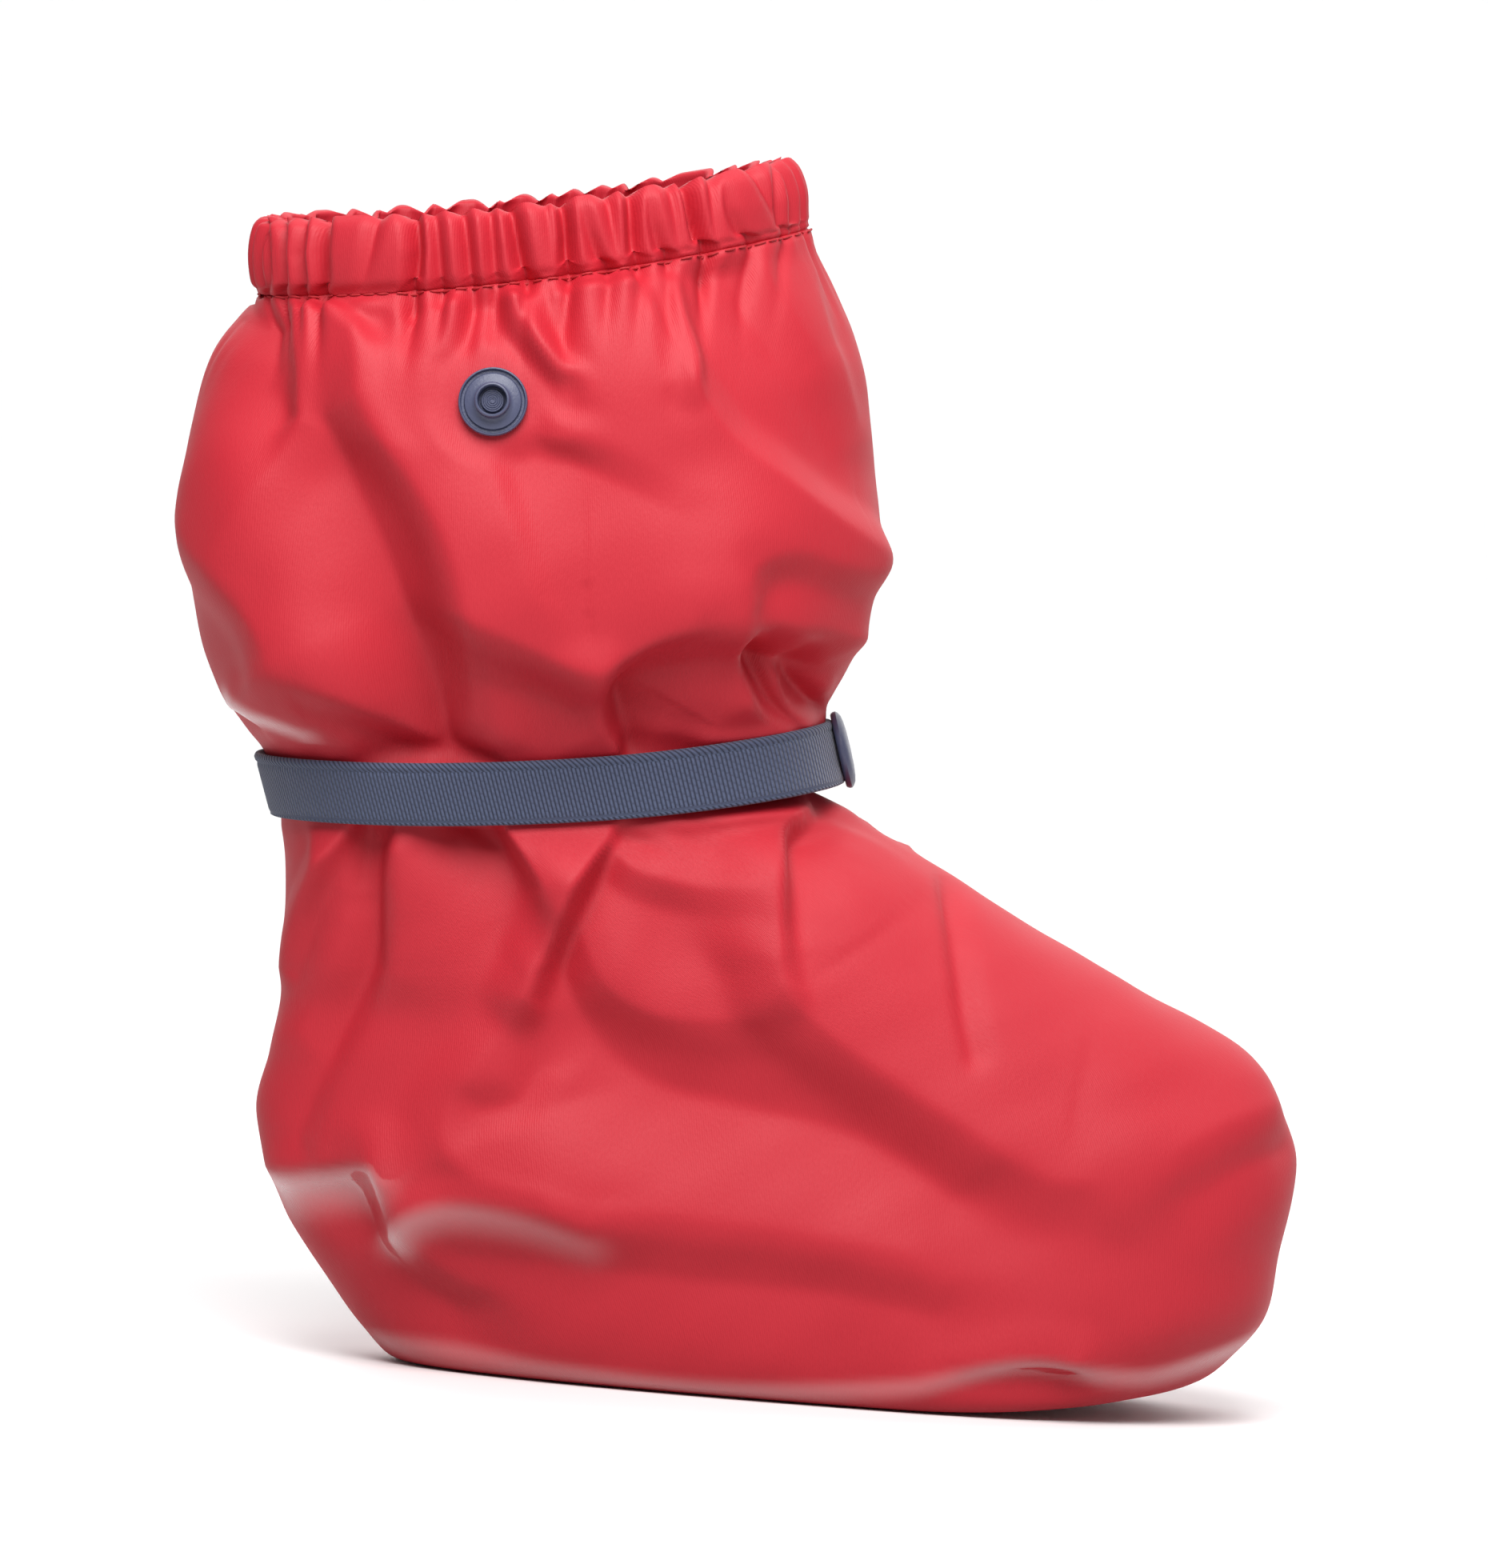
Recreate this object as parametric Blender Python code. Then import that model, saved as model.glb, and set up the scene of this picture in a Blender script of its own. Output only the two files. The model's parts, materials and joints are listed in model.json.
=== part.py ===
"""Small child's rain overshoe, of coated cloth: a bag-like boot with a gathered collar.

An elastic strap cinches the ankle and closes at the front with a plastic snap. A second snap stud
stands alone on the outer side of the shaft. X runs towards the toe, Y to the wearer's left, Z up.
The origin lies on the floor under the middle of the boot.
"""

import math
from collections import namedtuple

import bmesh
import bpy
from mathutils import Matrix, Vector

MM = 0.001

# Driving sizes, in millimetres.
FOOT_LENGTH = 165.4
BOOT_HEIGHT = 195.3
BALL_WIDTH = 70.0
CLOTH = 0.8
CASING_WALL = 2.4
SOLE_CLOTH = 1.2
GAP = 0.3
STRAP_WIDTH_LEVELS = ("strap_low", "strap_high")
STRAP_THICKNESS = 1.1
CAP_RADIUS = 6.2
BACK_CAP_RADIUS = 4.8
STUD_RADIUS = 5.45
PIN_RADIUS = 1.0
PIN_HOLE_RADIUS = 1.35

# Where X is 0, as a share of the foot's length ahead of the heel.
ORIGIN_ALONG = 0.447
# The side stud's place, as shares of the foot's length and the boot's height.
SIDE_STUD_ALONG = 0.184
SIDE_STUD_UP = 0.791

AROUND = 72
TURN_STEPS = 16
GATHERS = 24
HEEL_ROUNDNESS = 2.2
SPRING_START = 0.62

# One ring of the boot, from its back point to its front point.
# back and front are shares of the foot's length, measured from the back of the heel.
# back_up and front_up are shares of the boot's height.
# heel and ball are half widths, as shares of half the ball's width, towards the two ends.
# blunt squares the toe end, spring keeps the ring level until its front turns up,
# sag lowers its middle, in millimetres, and gathers is the height of the collar's folds there.
Section = namedtuple("Section", "name back back_up front front_up heel ball blunt spring sag gathers steps")

SECTIONS = [
    Section("sole_opening", 0.175, 0.002, 0.901, 0.029, 0.57, 0.77, 2.6, 1.0, 0.0, 0.0, 1),
    Section("turned_under", 0.145, 0.004, 0.928, 0.035, 0.69, 0.89, 2.6, 1.0, 0.0, 0.0, 1),
    Section("feather_edge", 0.117, 0.026, 0.952, 0.053, 0.76, 0.96, 2.6, 0.8, 0.0, 0.0, 1),
    Section("low_side", 0.076, 0.067, 0.981, 0.087, 0.82, 1.00, 2.6, 0.4, 0.0, 0.0, 1),
    Section("side", 0.034, 0.118, 0.990, 0.138, 0.85, 1.00, 2.5, 0.1, 0.0, 0.0, 2),
    Section("heel_bulge", 0.000, 0.192, 1.000, 0.212, 0.86, 0.94, 2.4, 0.0, 0.0, 0.0, 1),
    Section("toe_brow", 0.008, 0.246, 0.977, 0.261, 0.86, 0.88, 2.2, 0.0, 0.0, 0.0, 1),
    Section("toe_top", 0.016, 0.287, 0.943, 0.300, 0.85, 0.85, 2.0, 0.0, 0.0, 0.0, 1),
    Section("vamp", 0.015, 0.323, 0.831, 0.347, 0.85, 0.84, 2.0, 0.0, 0.0, 0.0, 1),
    Section("instep", 0.014, 0.364, 0.713, 0.397, 0.83, 0.83, 2.0, 0.0, 0.0, 0.0, 1),
    Section("throat", 0.010, 0.405, 0.599, 0.448, 0.81, 0.83, 2.0, 0.0, 0.6, 0.0, 1),
    Section("strap_low", 0.002, 0.439, 0.496, 0.484, 0.79, 0.81, 2.0, 0.0, 1.6, 0.0, 1),
    Section("strap_middle", -0.007, 0.464, 0.487, 0.509, 0.78, 0.80, 2.0, 0.0, 1.8, 0.0, 1),
    Section("strap_high", -0.018, 0.489, 0.478, 0.534, 0.80, 0.81, 2.0, 0.0, 1.6, 0.0, 1),
    Section("blouse_under", -0.067, 0.543, 0.532, 0.581, 0.99, 0.97, 2.1, 0.0, 1.0, 0.0, 2),
    Section("blouse_low", -0.092, 0.607, 0.546, 0.627, 1.10, 1.07, 2.1, 0.0, 0.6, 0.0, 2),
    Section("blouse_full", -0.103, 0.684, 0.558, 0.684, 1.15, 1.11, 2.1, 0.0, 0.0, 0.0, 2),
    Section("blouse_high", -0.105, 0.750, 0.549, 0.755, 1.13, 1.09, 2.1, 0.0, 0.0, 0.0, 2),
    Section("shoulder", -0.092, 0.806, 0.534, 0.827, 1.07, 1.04, 2.1, 0.0, 0.6, 0.3, 1),
    Section("gather", -0.068, 0.840, 0.505, 0.886, 0.98, 0.96, 2.1, 0.0, 1.4, 0.9, 1),
    Section("stitch_line", -0.048, 0.857, 0.469, 0.940, 0.90, 0.89, 2.1, 0.0, 2.0, 0.5, 1),
    Section("casing_low", -0.060, 0.869, 0.469, 0.953, 0.94, 0.92, 2.1, 0.0, 2.0, 0.8, 1),
    Section("casing_middle", -0.065, 0.891, 0.467, 0.973, 0.95, 0.93, 2.1, 0.0, 2.0, 0.9, 1),
    Section("casing_high", -0.062, 0.913, 0.458, 0.991, 0.93, 0.92, 2.1, 0.0, 2.0, 1.0, 1),
    Section("rim", -0.051, 0.923, 0.446, 1.000, 0.89, 0.87, 2.1, 0.0, 2.0, 1.0, 1),
]
LEVEL = {section.name: level for level, section in enumerate(SECTIONS)}

# The main folds that the strap and the collar draw in the cloth, each a soft ridge, or a trough
# where its height is negative. side is -1 for the stud's side and 1 for the other.
# The ends are shares of the foot's length and the boot's height, the rest millimetres.
Fold = namedtuple("Fold", "side from_along from_up to_along to_up half_width height")

FOLDS = [
    Fold(-1, 0.28, 0.43, 0.20, 0.25, 6.0, 2.6),
    Fold(-1, 0.06, 0.42, 0.03, 0.26, 5.0, 1.8),
    Fold(-1, 0.34, 0.41, 0.62, 0.20, 8.0, -2.2),
    Fold(-1, 0.46, 0.45, 0.48, 0.33, 5.0, -1.8),
    Fold(-1, 0.60, 0.41, 0.63, 0.29, 5.0, -1.4),
    Fold(-1, 0.30, 0.56, 0.22, 0.66, 7.0, -2.4),
    Fold(-1, 0.42, 0.58, 0.38, 0.67, 6.0, -2.4),
    Fold(-1, 0.06, 0.55, -0.04, 0.66, 7.0, -2.0),
    Fold(-1, 0.12, 0.83, 0.02, 0.66, 7.0, -2.0),
    Fold(-1, 0.33, 0.86, 0.38, 0.72, 7.0, -1.8),
    Fold(1, 0.24, 0.43, 0.30, 0.24, 6.0, 2.4),
    Fold(1, 0.07, 0.42, 0.08, 0.25, 5.0, -1.8),
    Fold(1, 0.40, 0.43, 0.60, 0.24, 7.0, -2.0),
    Fold(1, 0.52, 0.44, 0.56, 0.32, 5.0, 1.4),
    Fold(1, 0.34, 0.56, 0.40, 0.67, 7.0, -2.4),
    Fold(1, 0.18, 0.55, 0.20, 0.66, 6.0, -2.4),
    Fold(1, 0.02, 0.55, -0.05, 0.64, 6.0, -2.0),
    Fold(1, 0.30, 0.85, 0.20, 0.70, 7.0, -2.0),
]

# Heights in the strap snap's stack, in millimetres out from the cloth under it.
BACK_CAP_SEAT = 0.3
INNER_STRAP_SEAT = 2.0
STUD_SEAT = 3.4
SOCKET_SEAT = 4.5
OUTER_STRAP_SEAT = 7.0
CAP_SEAT = 8.4

# Ring places where the strap's two ends lie, and where they lift off the cloth.
STRAP_OVERLAP = 3
INNER_END_LANDS = 10
OUTER_END_LIFTS = 54
OUTER_END_FLAT = 69

COATED_RED = (0.66, 0.035, 0.055)
STRAP_NAVY = (0.045, 0.075, 0.16)
SNAP_NAVY = (0.05, 0.075, 0.14)


def smooth_step(share):
    share = min(1.0, max(0.0, share))
    return share * share * (3.0 - 2.0 * share)


def along(share):
    """X in millimetres of a share of the foot's length ahead of the heel."""
    return (share - ORIGIN_ALONG) * FOOT_LENGTH


def up(share):
    """Z in millimetres of a share of the boot's height."""
    return share * BOOT_HEIGHT


def curved(before, start, end, after, share):
    """A value on the smooth curve from start to end, with its neighbours' slopes."""
    slope_in = (end - before) / 2
    slope_out = (after - start) / 2
    square, cube = share * share, share * share * share
    return (
        start * (2 * cube - 3 * square + 1)
        + slope_in * (cube - 2 * square + share)
        + end * (3 * square - 2 * cube)
        + slope_out * (cube - square)
    )


def section_at(level):
    """The section at a level between two rows of the table."""
    last = len(SECTIONS) - 1
    low = min(int(level), last - 1)
    rows = [SECTIONS[min(last, max(0, low + step))] for step in (-1, 0, 1, 2)]
    values = [
        curved(*(row[column] for row in rows), level - low)
        for column in range(1, len(Section._fields))
    ]
    return Section(rows[1].name, *values)


def rise(share, spring):
    """How far up its front end a ring has come, a share of its length from the back."""
    start = SPRING_START * spring
    return max(0.0, (share - start) / (1.0 - start)) ** (1.0 + spring)


def outline_point(section, angle):
    """A point of a ring, in millimetres: angle 0 is the front, a quarter turn the left side."""
    cosine, sine = math.cos(angle), math.sin(angle)
    power = 2.0 / (section.blunt if cosine > 0 else HEEL_ROUNDNESS)
    reach = math.copysign(abs(cosine) ** power, cosine)
    spread = math.copysign(abs(sine) ** power, sine)
    share = (reach + 1.0) / 2.0
    x = along(section.back + (section.front - section.back) * share)
    half = section.heel + (section.ball - section.heel) * smooth_step(share)
    y = spread * half * BALL_WIDTH / 2.0
    climb = rise(share, section.spring)
    z = up(section.back_up + (section.front_up - section.back_up) * climb)
    return Vector((x, y, z - section.sag * 4.0 * share * (1.0 - share)))


def even_ring(section, count):
    """count points of a ring, evenly spaced along it from the front, round by the left side."""
    fine = 720
    points = [outline_point(section, 2.0 * math.pi * step / fine) for step in range(fine + 1)]
    lengths = [0.0]
    for start, end in zip(points, points[1:]):
        lengths.append(lengths[-1] + (end - start).length)
    ring, step = [], 0
    for place in range(count):
        target = lengths[-1] * place / count
        while lengths[step + 1] < target:
            step += 1
        share = (target - lengths[step]) / (lengths[step + 1] - lengths[step])
        ring.append(points[step].lerp(points[step + 1], share))
    return ring


def fold_height(point):
    """How far the main folds move a point of the cloth outwards, in millimetres."""
    total = 0.0
    for fold in FOLDS:
        facing = smooth_step(0.5 + fold.side * point.y / 16.0)
        if facing == 0.0:
            continue
        start = Vector((along(fold.from_along), up(fold.from_up)))
        run = Vector((along(fold.to_along), up(fold.to_up))) - start
        place = Vector((point.x, point.z)) - start
        share = min(1.0, max(0.0, place.dot(run) / run.length_squared))
        distance = (place - run * share).length
        fade = 1.0 - 0.7 * share
        total += facing * fade * fold.height * math.exp(-((distance / fold.half_width) ** 2))
    return total


def strap_clearance(level):
    """0 under the strap, where the cloth lies flat, and 1 from a level away."""
    middle = LEVEL["strap_middle"]
    return smooth_step(abs(level - middle) - 1.0)


def stud_clearance(point):
    """0 under the side stud, where the cloth lies flat, and 1 a stud's radius outside it."""
    if point.y > 0:
        return 1.0
    centre = Vector((along(SIDE_STUD_ALONG), up(SIDE_STUD_UP)))
    distance = (Vector((point.x, point.z)) - centre).length
    return smooth_step((distance - 1.4 * STUD_RADIUS) / STUD_RADIUS)


def cloth_rings(levels):
    """The outer face of the boot's cloth, as rings of points at the given levels."""
    plain = [even_ring(section_at(level), AROUND) for level in levels]
    folded = []
    for row, level in enumerate(levels):
        above, below = plain[min(row + 1, len(plain) - 1)], plain[max(row - 1, 0)]
        gathers = section_at(level).gathers
        ring = []
        for place, point in enumerate(plain[row]):
            sideways = plain[row][(place + 1) % AROUND] - plain[row][place - 1]
            outwards = sideways.cross(above[place] - below[place]).normalized()
            wave = gathers * math.cos(2.0 * math.pi * GATHERS * place / AROUND)
            fold = fold_height(point) * strap_clearance(level) * stud_clearance(point)
            ring.append(point + outwards * (wave + fold))
        folded.append(ring)
    return folded


def cloth_levels():
    """The levels of the boot's rings: each section, with more where sections lie far apart."""
    levels = []
    for level, section in enumerate(SECTIONS[:-1]):
        levels.extend(level + step / section.steps for step in range(section.steps))
    return levels + [len(SECTIONS) - 1]


def finish_of(name, colour, roughness):
    material = bpy.data.materials.new(name)
    material.use_nodes = True
    shader = material.node_tree.nodes["Principled BSDF"]
    shader.inputs["Base Color"].default_value = (*colour, 1.0)
    shader.inputs["Roughness"].default_value = roughness
    shader.inputs["Metallic"].default_value = 0.0
    return material


def placed(name, shape, material, parent, smooth_angle=40.0):
    """A named object that holds a bmesh whose points are in millimetres."""
    bmesh.ops.scale(shape, vec=(MM, MM, MM), verts=shape.verts)
    mesh = bpy.data.meshes.new(name)
    shape.to_mesh(mesh)
    shape.free()
    mesh.shade_smooth()
    mesh.set_sharp_from_angle(angle=math.radians(smooth_angle))
    mesh.materials.append(material)
    thing = bpy.data.objects.new(name, mesh)
    bpy.context.scene.collection.objects.link(thing)
    thing.parent = parent
    return thing


def thicken(thing, thickness, thin_group=None, thin_share=1.0):
    """Gives a sheet its wall, inwards from the face that shows."""
    wall = thing.modifiers.new("wall", "SOLIDIFY")
    wall.thickness = thickness * MM
    wall.offset = -1.0
    wall.use_even_offset = True
    wall.use_quality_normals = True
    if thin_group:
        wall.vertex_group = thin_group
        wall.thickness_vertex_group = thin_share


def cut_hole(thing, cutter):
    cutter.hide_render = True
    cutter.display_type = "WIRE"
    hole = thing.modifiers.new("pin hole", "BOOLEAN")
    hole.operation = "DIFFERENCE"
    hole.object = cutter


def make_upper(rings, levels, material, parent):
    """The cloth bag: one sheet from the sole's opening to the rim, thicker along the casing."""
    shape = bmesh.new()
    place_of = shape.verts.layers.int.new("place")
    made = bmesh.ops.create_circle(shape, segments=AROUND, radius=1.0)
    for place, vert in enumerate(made["verts"]):
        vert[place_of] = place
        vert.co = rings[0][place]
    edges = list(shape.edges)
    casing = []
    for ring, level in zip(rings[1:], levels[1:]):
        made = bmesh.ops.extrude_edge_only(shape, edges=edges)["geom"]
        edges = [part for part in made if isinstance(part, bmesh.types.BMEdge)]
        for vert in (part for part in made if isinstance(part, bmesh.types.BMVert)):
            vert.co = ring[vert[place_of]]
            if level > LEVEL["stitch_line"]:
                casing.append(vert)
    shape.verts.index_update()
    casing_indices = [vert.index for vert in casing]
    shape.verts.layers.int.remove(place_of)
    bmesh.ops.recalc_face_normals(shape, faces=shape.faces)
    if sum(face.normal.dot(face.calc_center_median()) for face in shape.faces) < 0:
        bmesh.ops.reverse_faces(shape, faces=shape.faces)
    upper = placed("upper", shape, material, parent, 60.0)
    upper.vertex_groups.new(name="casing").add(casing_indices, 1.0, "REPLACE")
    thicken(upper, CASING_WALL, "casing", CLOTH / CASING_WALL)
    return upper


def make_sole(opening, material, parent):
    """The sole panel: a sheet cut to the opening under the upper, flat but for its toe."""
    half = AROUND // 2
    inset = []
    for place in range(half + 1):
        ahead, behind = opening[place + 1], opening[place - 1]
        outwards = Vector((ahead.y - behind.y, behind.x - ahead.x, 0.0)).normalized()
        point = opening[place] - outwards * GAP
        inset.append(Vector((point.x, point.y, opening[place].z - opening[half].z)))
    shape = bmesh.new()
    toe = shape.verts.new(inset[0])
    left, right = shape.verts.new(inset[1]), shape.verts.new(inset[1] * Vector((1, -1, 1)))
    shape.faces.new((toe, left, right))
    edge = shape.edges.get((left, right))
    for point in inset[2:]:
        made = bmesh.ops.extrude_edge_only(shape, edges=[edge])["geom"]
        edge = next(part for part in made if isinstance(part, bmesh.types.BMEdge))
        for vert in edge.verts:
            vert.co = (point.x, math.copysign(point.y, vert.co.y), point.z)
    bmesh.ops.pointmerge(shape, verts=list(edge.verts), merge_co=inset[half])
    bmesh.ops.recalc_face_normals(shape, faces=shape.faces)
    if sum(face.normal.z for face in shape.faces) > 0:
        bmesh.ops.reverse_faces(shape, faces=shape.faces)
    sole = placed("sole_panel", shape, material, parent)
    thicken(sole, SOLE_CLOTH)
    return sole


def strap_seat(place):
    """How far the strap lies off the cloth at a ring place, which runs on past a whole turn."""
    landed = smooth_step((place - STRAP_OVERLAP) / (INNER_END_LANDS - STRAP_OVERLAP))
    lifted = smooth_step((place - OUTER_END_LIFTS) / (OUTER_END_FLAT - OUTER_END_LIFTS))
    inner = INNER_STRAP_SEAT + (GAP - INNER_STRAP_SEAT) * landed
    return inner + (OUTER_STRAP_SEAT - GAP) * lifted


def make_strap(low, high, material, parent):
    """The elastic: a flat band once round the ankle, its outer end over its inner end in front."""
    shape = bmesh.new()
    corners = []
    for place in range(-STRAP_OVERLAP, AROUND + STRAP_OVERLAP + 1):
        here, after = place % AROUND, (place + 1) % AROUND
        outwards = (low[after] - low[here - 1]).cross(high[here] - low[here]).normalized()
        inner, outer = strap_seat(place), strap_seat(place) + STRAP_THICKNESS
        corners.append(
            [
                low[here] + outwards * inner,
                low[here] + outwards * outer,
                high[here] + outwards * outer,
                high[here] + outwards * inner,
            ]
        )
    corner_of = shape.verts.layers.int.new("corner")
    verts = [shape.verts.new(corner) for corner in corners[0]]
    for side, vert in enumerate(verts):
        vert[corner_of] = side
    edges = list(shape.faces.new(verts).edges)
    for station in corners[1:]:
        made = bmesh.ops.extrude_edge_only(shape, edges=edges)["geom"]
        edges = [part for part in made if isinstance(part, bmesh.types.BMEdge)]
        verts = [part for part in made if isinstance(part, bmesh.types.BMVert)]
        for vert in verts:
            vert.co = station[vert[corner_of]]
    shape.faces.new(sorted(verts, key=lambda vert: vert[corner_of]))
    shape.verts.layers.int.remove(corner_of)
    bmesh.ops.recalc_face_normals(shape, faces=shape.faces)
    return placed("ankle_strap", shape, material, parent)


def axis_frame(point, outwards, distance=0.0):
    """Turns Z to point outwards from the cloth, at a distance from it, in millimetres."""
    turn = outwards.to_track_quat("Z", "Y").to_matrix().to_4x4()
    return Matrix.Translation(point + outwards * distance) @ turn


def turned(name, profile, frame, material, parent):
    """A round piece: a closed outline of (radius, height) turned about its axis."""
    shape = bmesh.new()
    verts = [shape.verts.new((radius, 0.0, height)) for radius, height in profile]
    for start, end in zip(verts, verts[1:] + verts[:1]):
        if start.co.x + end.co.x > 0.0:
            shape.edges.new((start, end))
    bmesh.ops.spin(
        shape,
        geom=shape.verts[:] + shape.edges[:],
        axis=(0.0, 0.0, 1.0),
        angle=2.0 * math.pi,
        steps=TURN_STEPS,
        use_merge=True,
    )
    bmesh.ops.remove_doubles(shape, verts=shape.verts, dist=0.001)
    bmesh.ops.recalc_face_normals(shape, faces=shape.faces)
    bmesh.ops.transform(shape, matrix=frame, verts=shape.verts)
    return placed(name, shape, material, parent)


def pin_cutter(name, frame, bottom, top, material, parent):
    """A plain rod that bores a pin's hole."""
    rod = [(0.0, bottom), (PIN_HOLE_RADIUS, bottom), (PIN_HOLE_RADIUS, top), (0.0, top)]
    return turned(name, rod, frame, material, parent)


def stud_profile(boss_height):
    """A snap's stud: a rimmed flange with a hollow boss whose lip clicks into the socket."""
    floor, lip = 0.8, 0.12
    return [
        (PIN_HOLE_RADIUS, 0.0),
        (STUD_RADIUS - 0.2, 0.0),
        (STUD_RADIUS, 0.25),
        (STUD_RADIUS, 0.8),
        (STUD_RADIUS - 0.3, 1.0),
        (STUD_RADIUS - 0.7, 0.7),
        (STUD_RADIUS - 1.0, 0.95),
        (3.1, 1.1),
        (2.65, 1.4),
        (2.65 + lip, boss_height - 0.5),
        (2.65, boss_height),
        (2.35, boss_height),
        (2.35, floor),
        (PIN_HOLE_RADIUS, floor),
    ]


def cap_profile(radius, thickness, pin_end, head_radius, head_height):
    """A snap's cap seen from its pin: a domed disc, the pin, and the pin's flattened head."""
    return [
        (0.0, -thickness),
        (radius - 2.5, -thickness + 0.1),
        (radius - 0.9, -thickness + 0.35),
        (radius, -thickness / 2.0),
        (radius - 0.3, 0.0),
        (PIN_RADIUS, 0.0),
        (PIN_RADIUS, pin_end),
        (head_radius, pin_end),
        (head_radius, pin_end + head_height),
        (0.0, pin_end + head_height),
    ]


def nearest_on_cloth(rings, x, z):
    """The point of the stud's side of the cloth that shows at x, z, with its outward direction."""
    spots = [
        (row, place)
        for row in range(1, len(rings) - 1)
        for place in range(AROUND // 2 + 1, AROUND)
    ]

    def miss(spot):
        point = rings[spot[0]][spot[1]]
        return math.hypot(point.x - x, point.z - z)

    row, place = min(spots, key=miss)
    sideways = rings[row][(place + 1) % AROUND] - rings[row][place - 1]
    outwards = sideways.cross(rings[row + 1][place] - rings[row - 1][place]).normalized()
    point = rings[row][place].copy()
    point.y -= ((x - point.x) * outwards.x + (z - point.z) * outwards.z) / outwards.y
    return Vector((x, point.y, z)), outwards


def make_side_snap(upper, rings, material, parent):
    """The lone stud outside, and the cap inside whose pin holds it through the cloth."""
    point, outwards = nearest_on_cloth(rings, along(SIDE_STUD_ALONG), up(SIDE_STUD_UP))
    seat = GAP + 0.2
    frame = axis_frame(point, outwards, seat)
    turned("side_snap_stud", stud_profile(3.0), frame, material, parent)
    inside_clearance = 0.8
    cap_depth = seat + CLOTH + inside_clearance
    inside = axis_frame(point, outwards, seat - cap_depth)
    head_seat = 1.1
    turned(
        "side_snap_cap",
        cap_profile(CAP_RADIUS, 1.2, cap_depth + head_seat, 1.7, 0.5),
        inside,
        material,
        parent,
    )
    cut_hole(upper, pin_cutter("side_pin_cutter", frame, -4.0, 2.0, material, parent))


def make_strap_snap(strap, low, high, material, parent):
    """The strap's closure: cap and socket on the outer end, stud and back cap on the inner end."""
    outwards = (low[1] - low[-1]).cross(high[0] - low[0]).normalized()
    centre = (low[0] + high[0]) / 2.0
    back_cap_thickness = 0.8
    cap_thickness = 1.6
    pin_reach = 0.5

    def frame(distance):
        return axis_frame(centre, outwards, distance)

    facing_in = Matrix.Rotation(math.pi, 4, "X")
    stud_pin = STUD_SEAT - BACK_CAP_SEAT - back_cap_thickness + pin_reach
    turned(
        "strap_snap_back_cap",
        cap_profile(BACK_CAP_RADIUS, back_cap_thickness, stud_pin, PIN_RADIUS, 0.3),
        frame(BACK_CAP_SEAT + back_cap_thickness),
        material,
        parent,
    )
    turned("strap_snap_stud", stud_profile(2.1), frame(STUD_SEAT), material, parent)
    socket_height = 1.7
    turned(
        "strap_snap_socket",
        [
            (3.15, 0.0),
            (STUD_RADIUS - 0.2, 0.0),
            (STUD_RADIUS, 0.3),
            (STUD_RADIUS, socket_height - 0.3),
            (STUD_RADIUS - 0.3, socket_height),
            (PIN_HOLE_RADIUS, socket_height),
            (PIN_HOLE_RADIUS, socket_height - 0.35),
            (3.15, socket_height - 0.35),
        ],
        frame(SOCKET_SEAT),
        material,
        parent,
    )
    socket_top = SOCKET_SEAT + socket_height
    turned(
        "strap_snap_cap",
        cap_profile(CAP_RADIUS, cap_thickness, CAP_SEAT - socket_top, PIN_RADIUS, 0.1),
        frame(CAP_SEAT) @ facing_in,
        material,
        parent,
    )
    bore = pin_cutter("strap_pin_cutter", frame(0.0), 0.5, 9.5, material, parent)
    cut_hole(strap, bore)


def main():
    for thing in list(bpy.data.objects):
        bpy.data.objects.remove(thing)
    red = finish_of("coated_red", COATED_RED, 0.35)
    elastic = finish_of("strap_navy", STRAP_NAVY, 0.8)
    plastic = finish_of("snap_navy", SNAP_NAVY, 0.4)
    boot = bpy.data.objects.new("rain_overshoe", None)
    bpy.context.scene.collection.objects.link(boot)
    levels = cloth_levels()
    rings = cloth_rings(levels)
    upper = make_upper(rings, levels, red, boot)
    make_sole(rings[0], red, boot)
    low, high = (rings[levels.index(LEVEL[name])] for name in STRAP_WIDTH_LEVELS)
    strap = make_strap(low, high, elastic, boot)
    make_strap_snap(strap, low, high, plastic, boot)
    make_side_snap(upper, rings, plastic, boot)


main()
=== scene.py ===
import json
import math
from collections import namedtuple

import bmesh
import bpy
import numpy as np
from mathutils import Matrix, Vector


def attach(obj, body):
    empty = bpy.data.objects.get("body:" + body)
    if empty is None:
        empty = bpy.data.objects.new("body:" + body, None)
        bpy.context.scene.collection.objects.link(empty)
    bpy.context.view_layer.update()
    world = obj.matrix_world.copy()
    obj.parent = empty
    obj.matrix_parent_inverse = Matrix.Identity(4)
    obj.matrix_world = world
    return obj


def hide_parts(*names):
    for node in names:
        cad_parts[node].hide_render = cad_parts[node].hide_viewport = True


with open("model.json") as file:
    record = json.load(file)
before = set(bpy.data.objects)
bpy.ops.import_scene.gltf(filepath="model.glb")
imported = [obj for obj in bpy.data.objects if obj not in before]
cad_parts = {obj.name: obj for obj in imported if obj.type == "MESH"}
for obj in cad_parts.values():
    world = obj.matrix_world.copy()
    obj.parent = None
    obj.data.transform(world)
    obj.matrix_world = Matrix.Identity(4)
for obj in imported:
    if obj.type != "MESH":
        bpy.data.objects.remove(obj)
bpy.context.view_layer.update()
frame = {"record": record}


# Upper cloth: a roomy bag of thin knitted cloth, coated on its outer face with soft red plastic.
# It is cut large and sewn, then drawn in by the strap at the ankle and by the elastic in the collar.
# Foot and shaft are modelled as two lengths of it, which meet under the strap.
MM = 0.001  # sizes here are in millimetres, and Blender's are in metres
FOOT_LENGTH = 165.4
BOOT_HEIGHT = 195.3
BALL_WIDTH = 70.0
ORIGIN_ALONG = 0.447
HEEL_ROUNDNESS = 2.2
SPRING_START = 0.62
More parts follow.
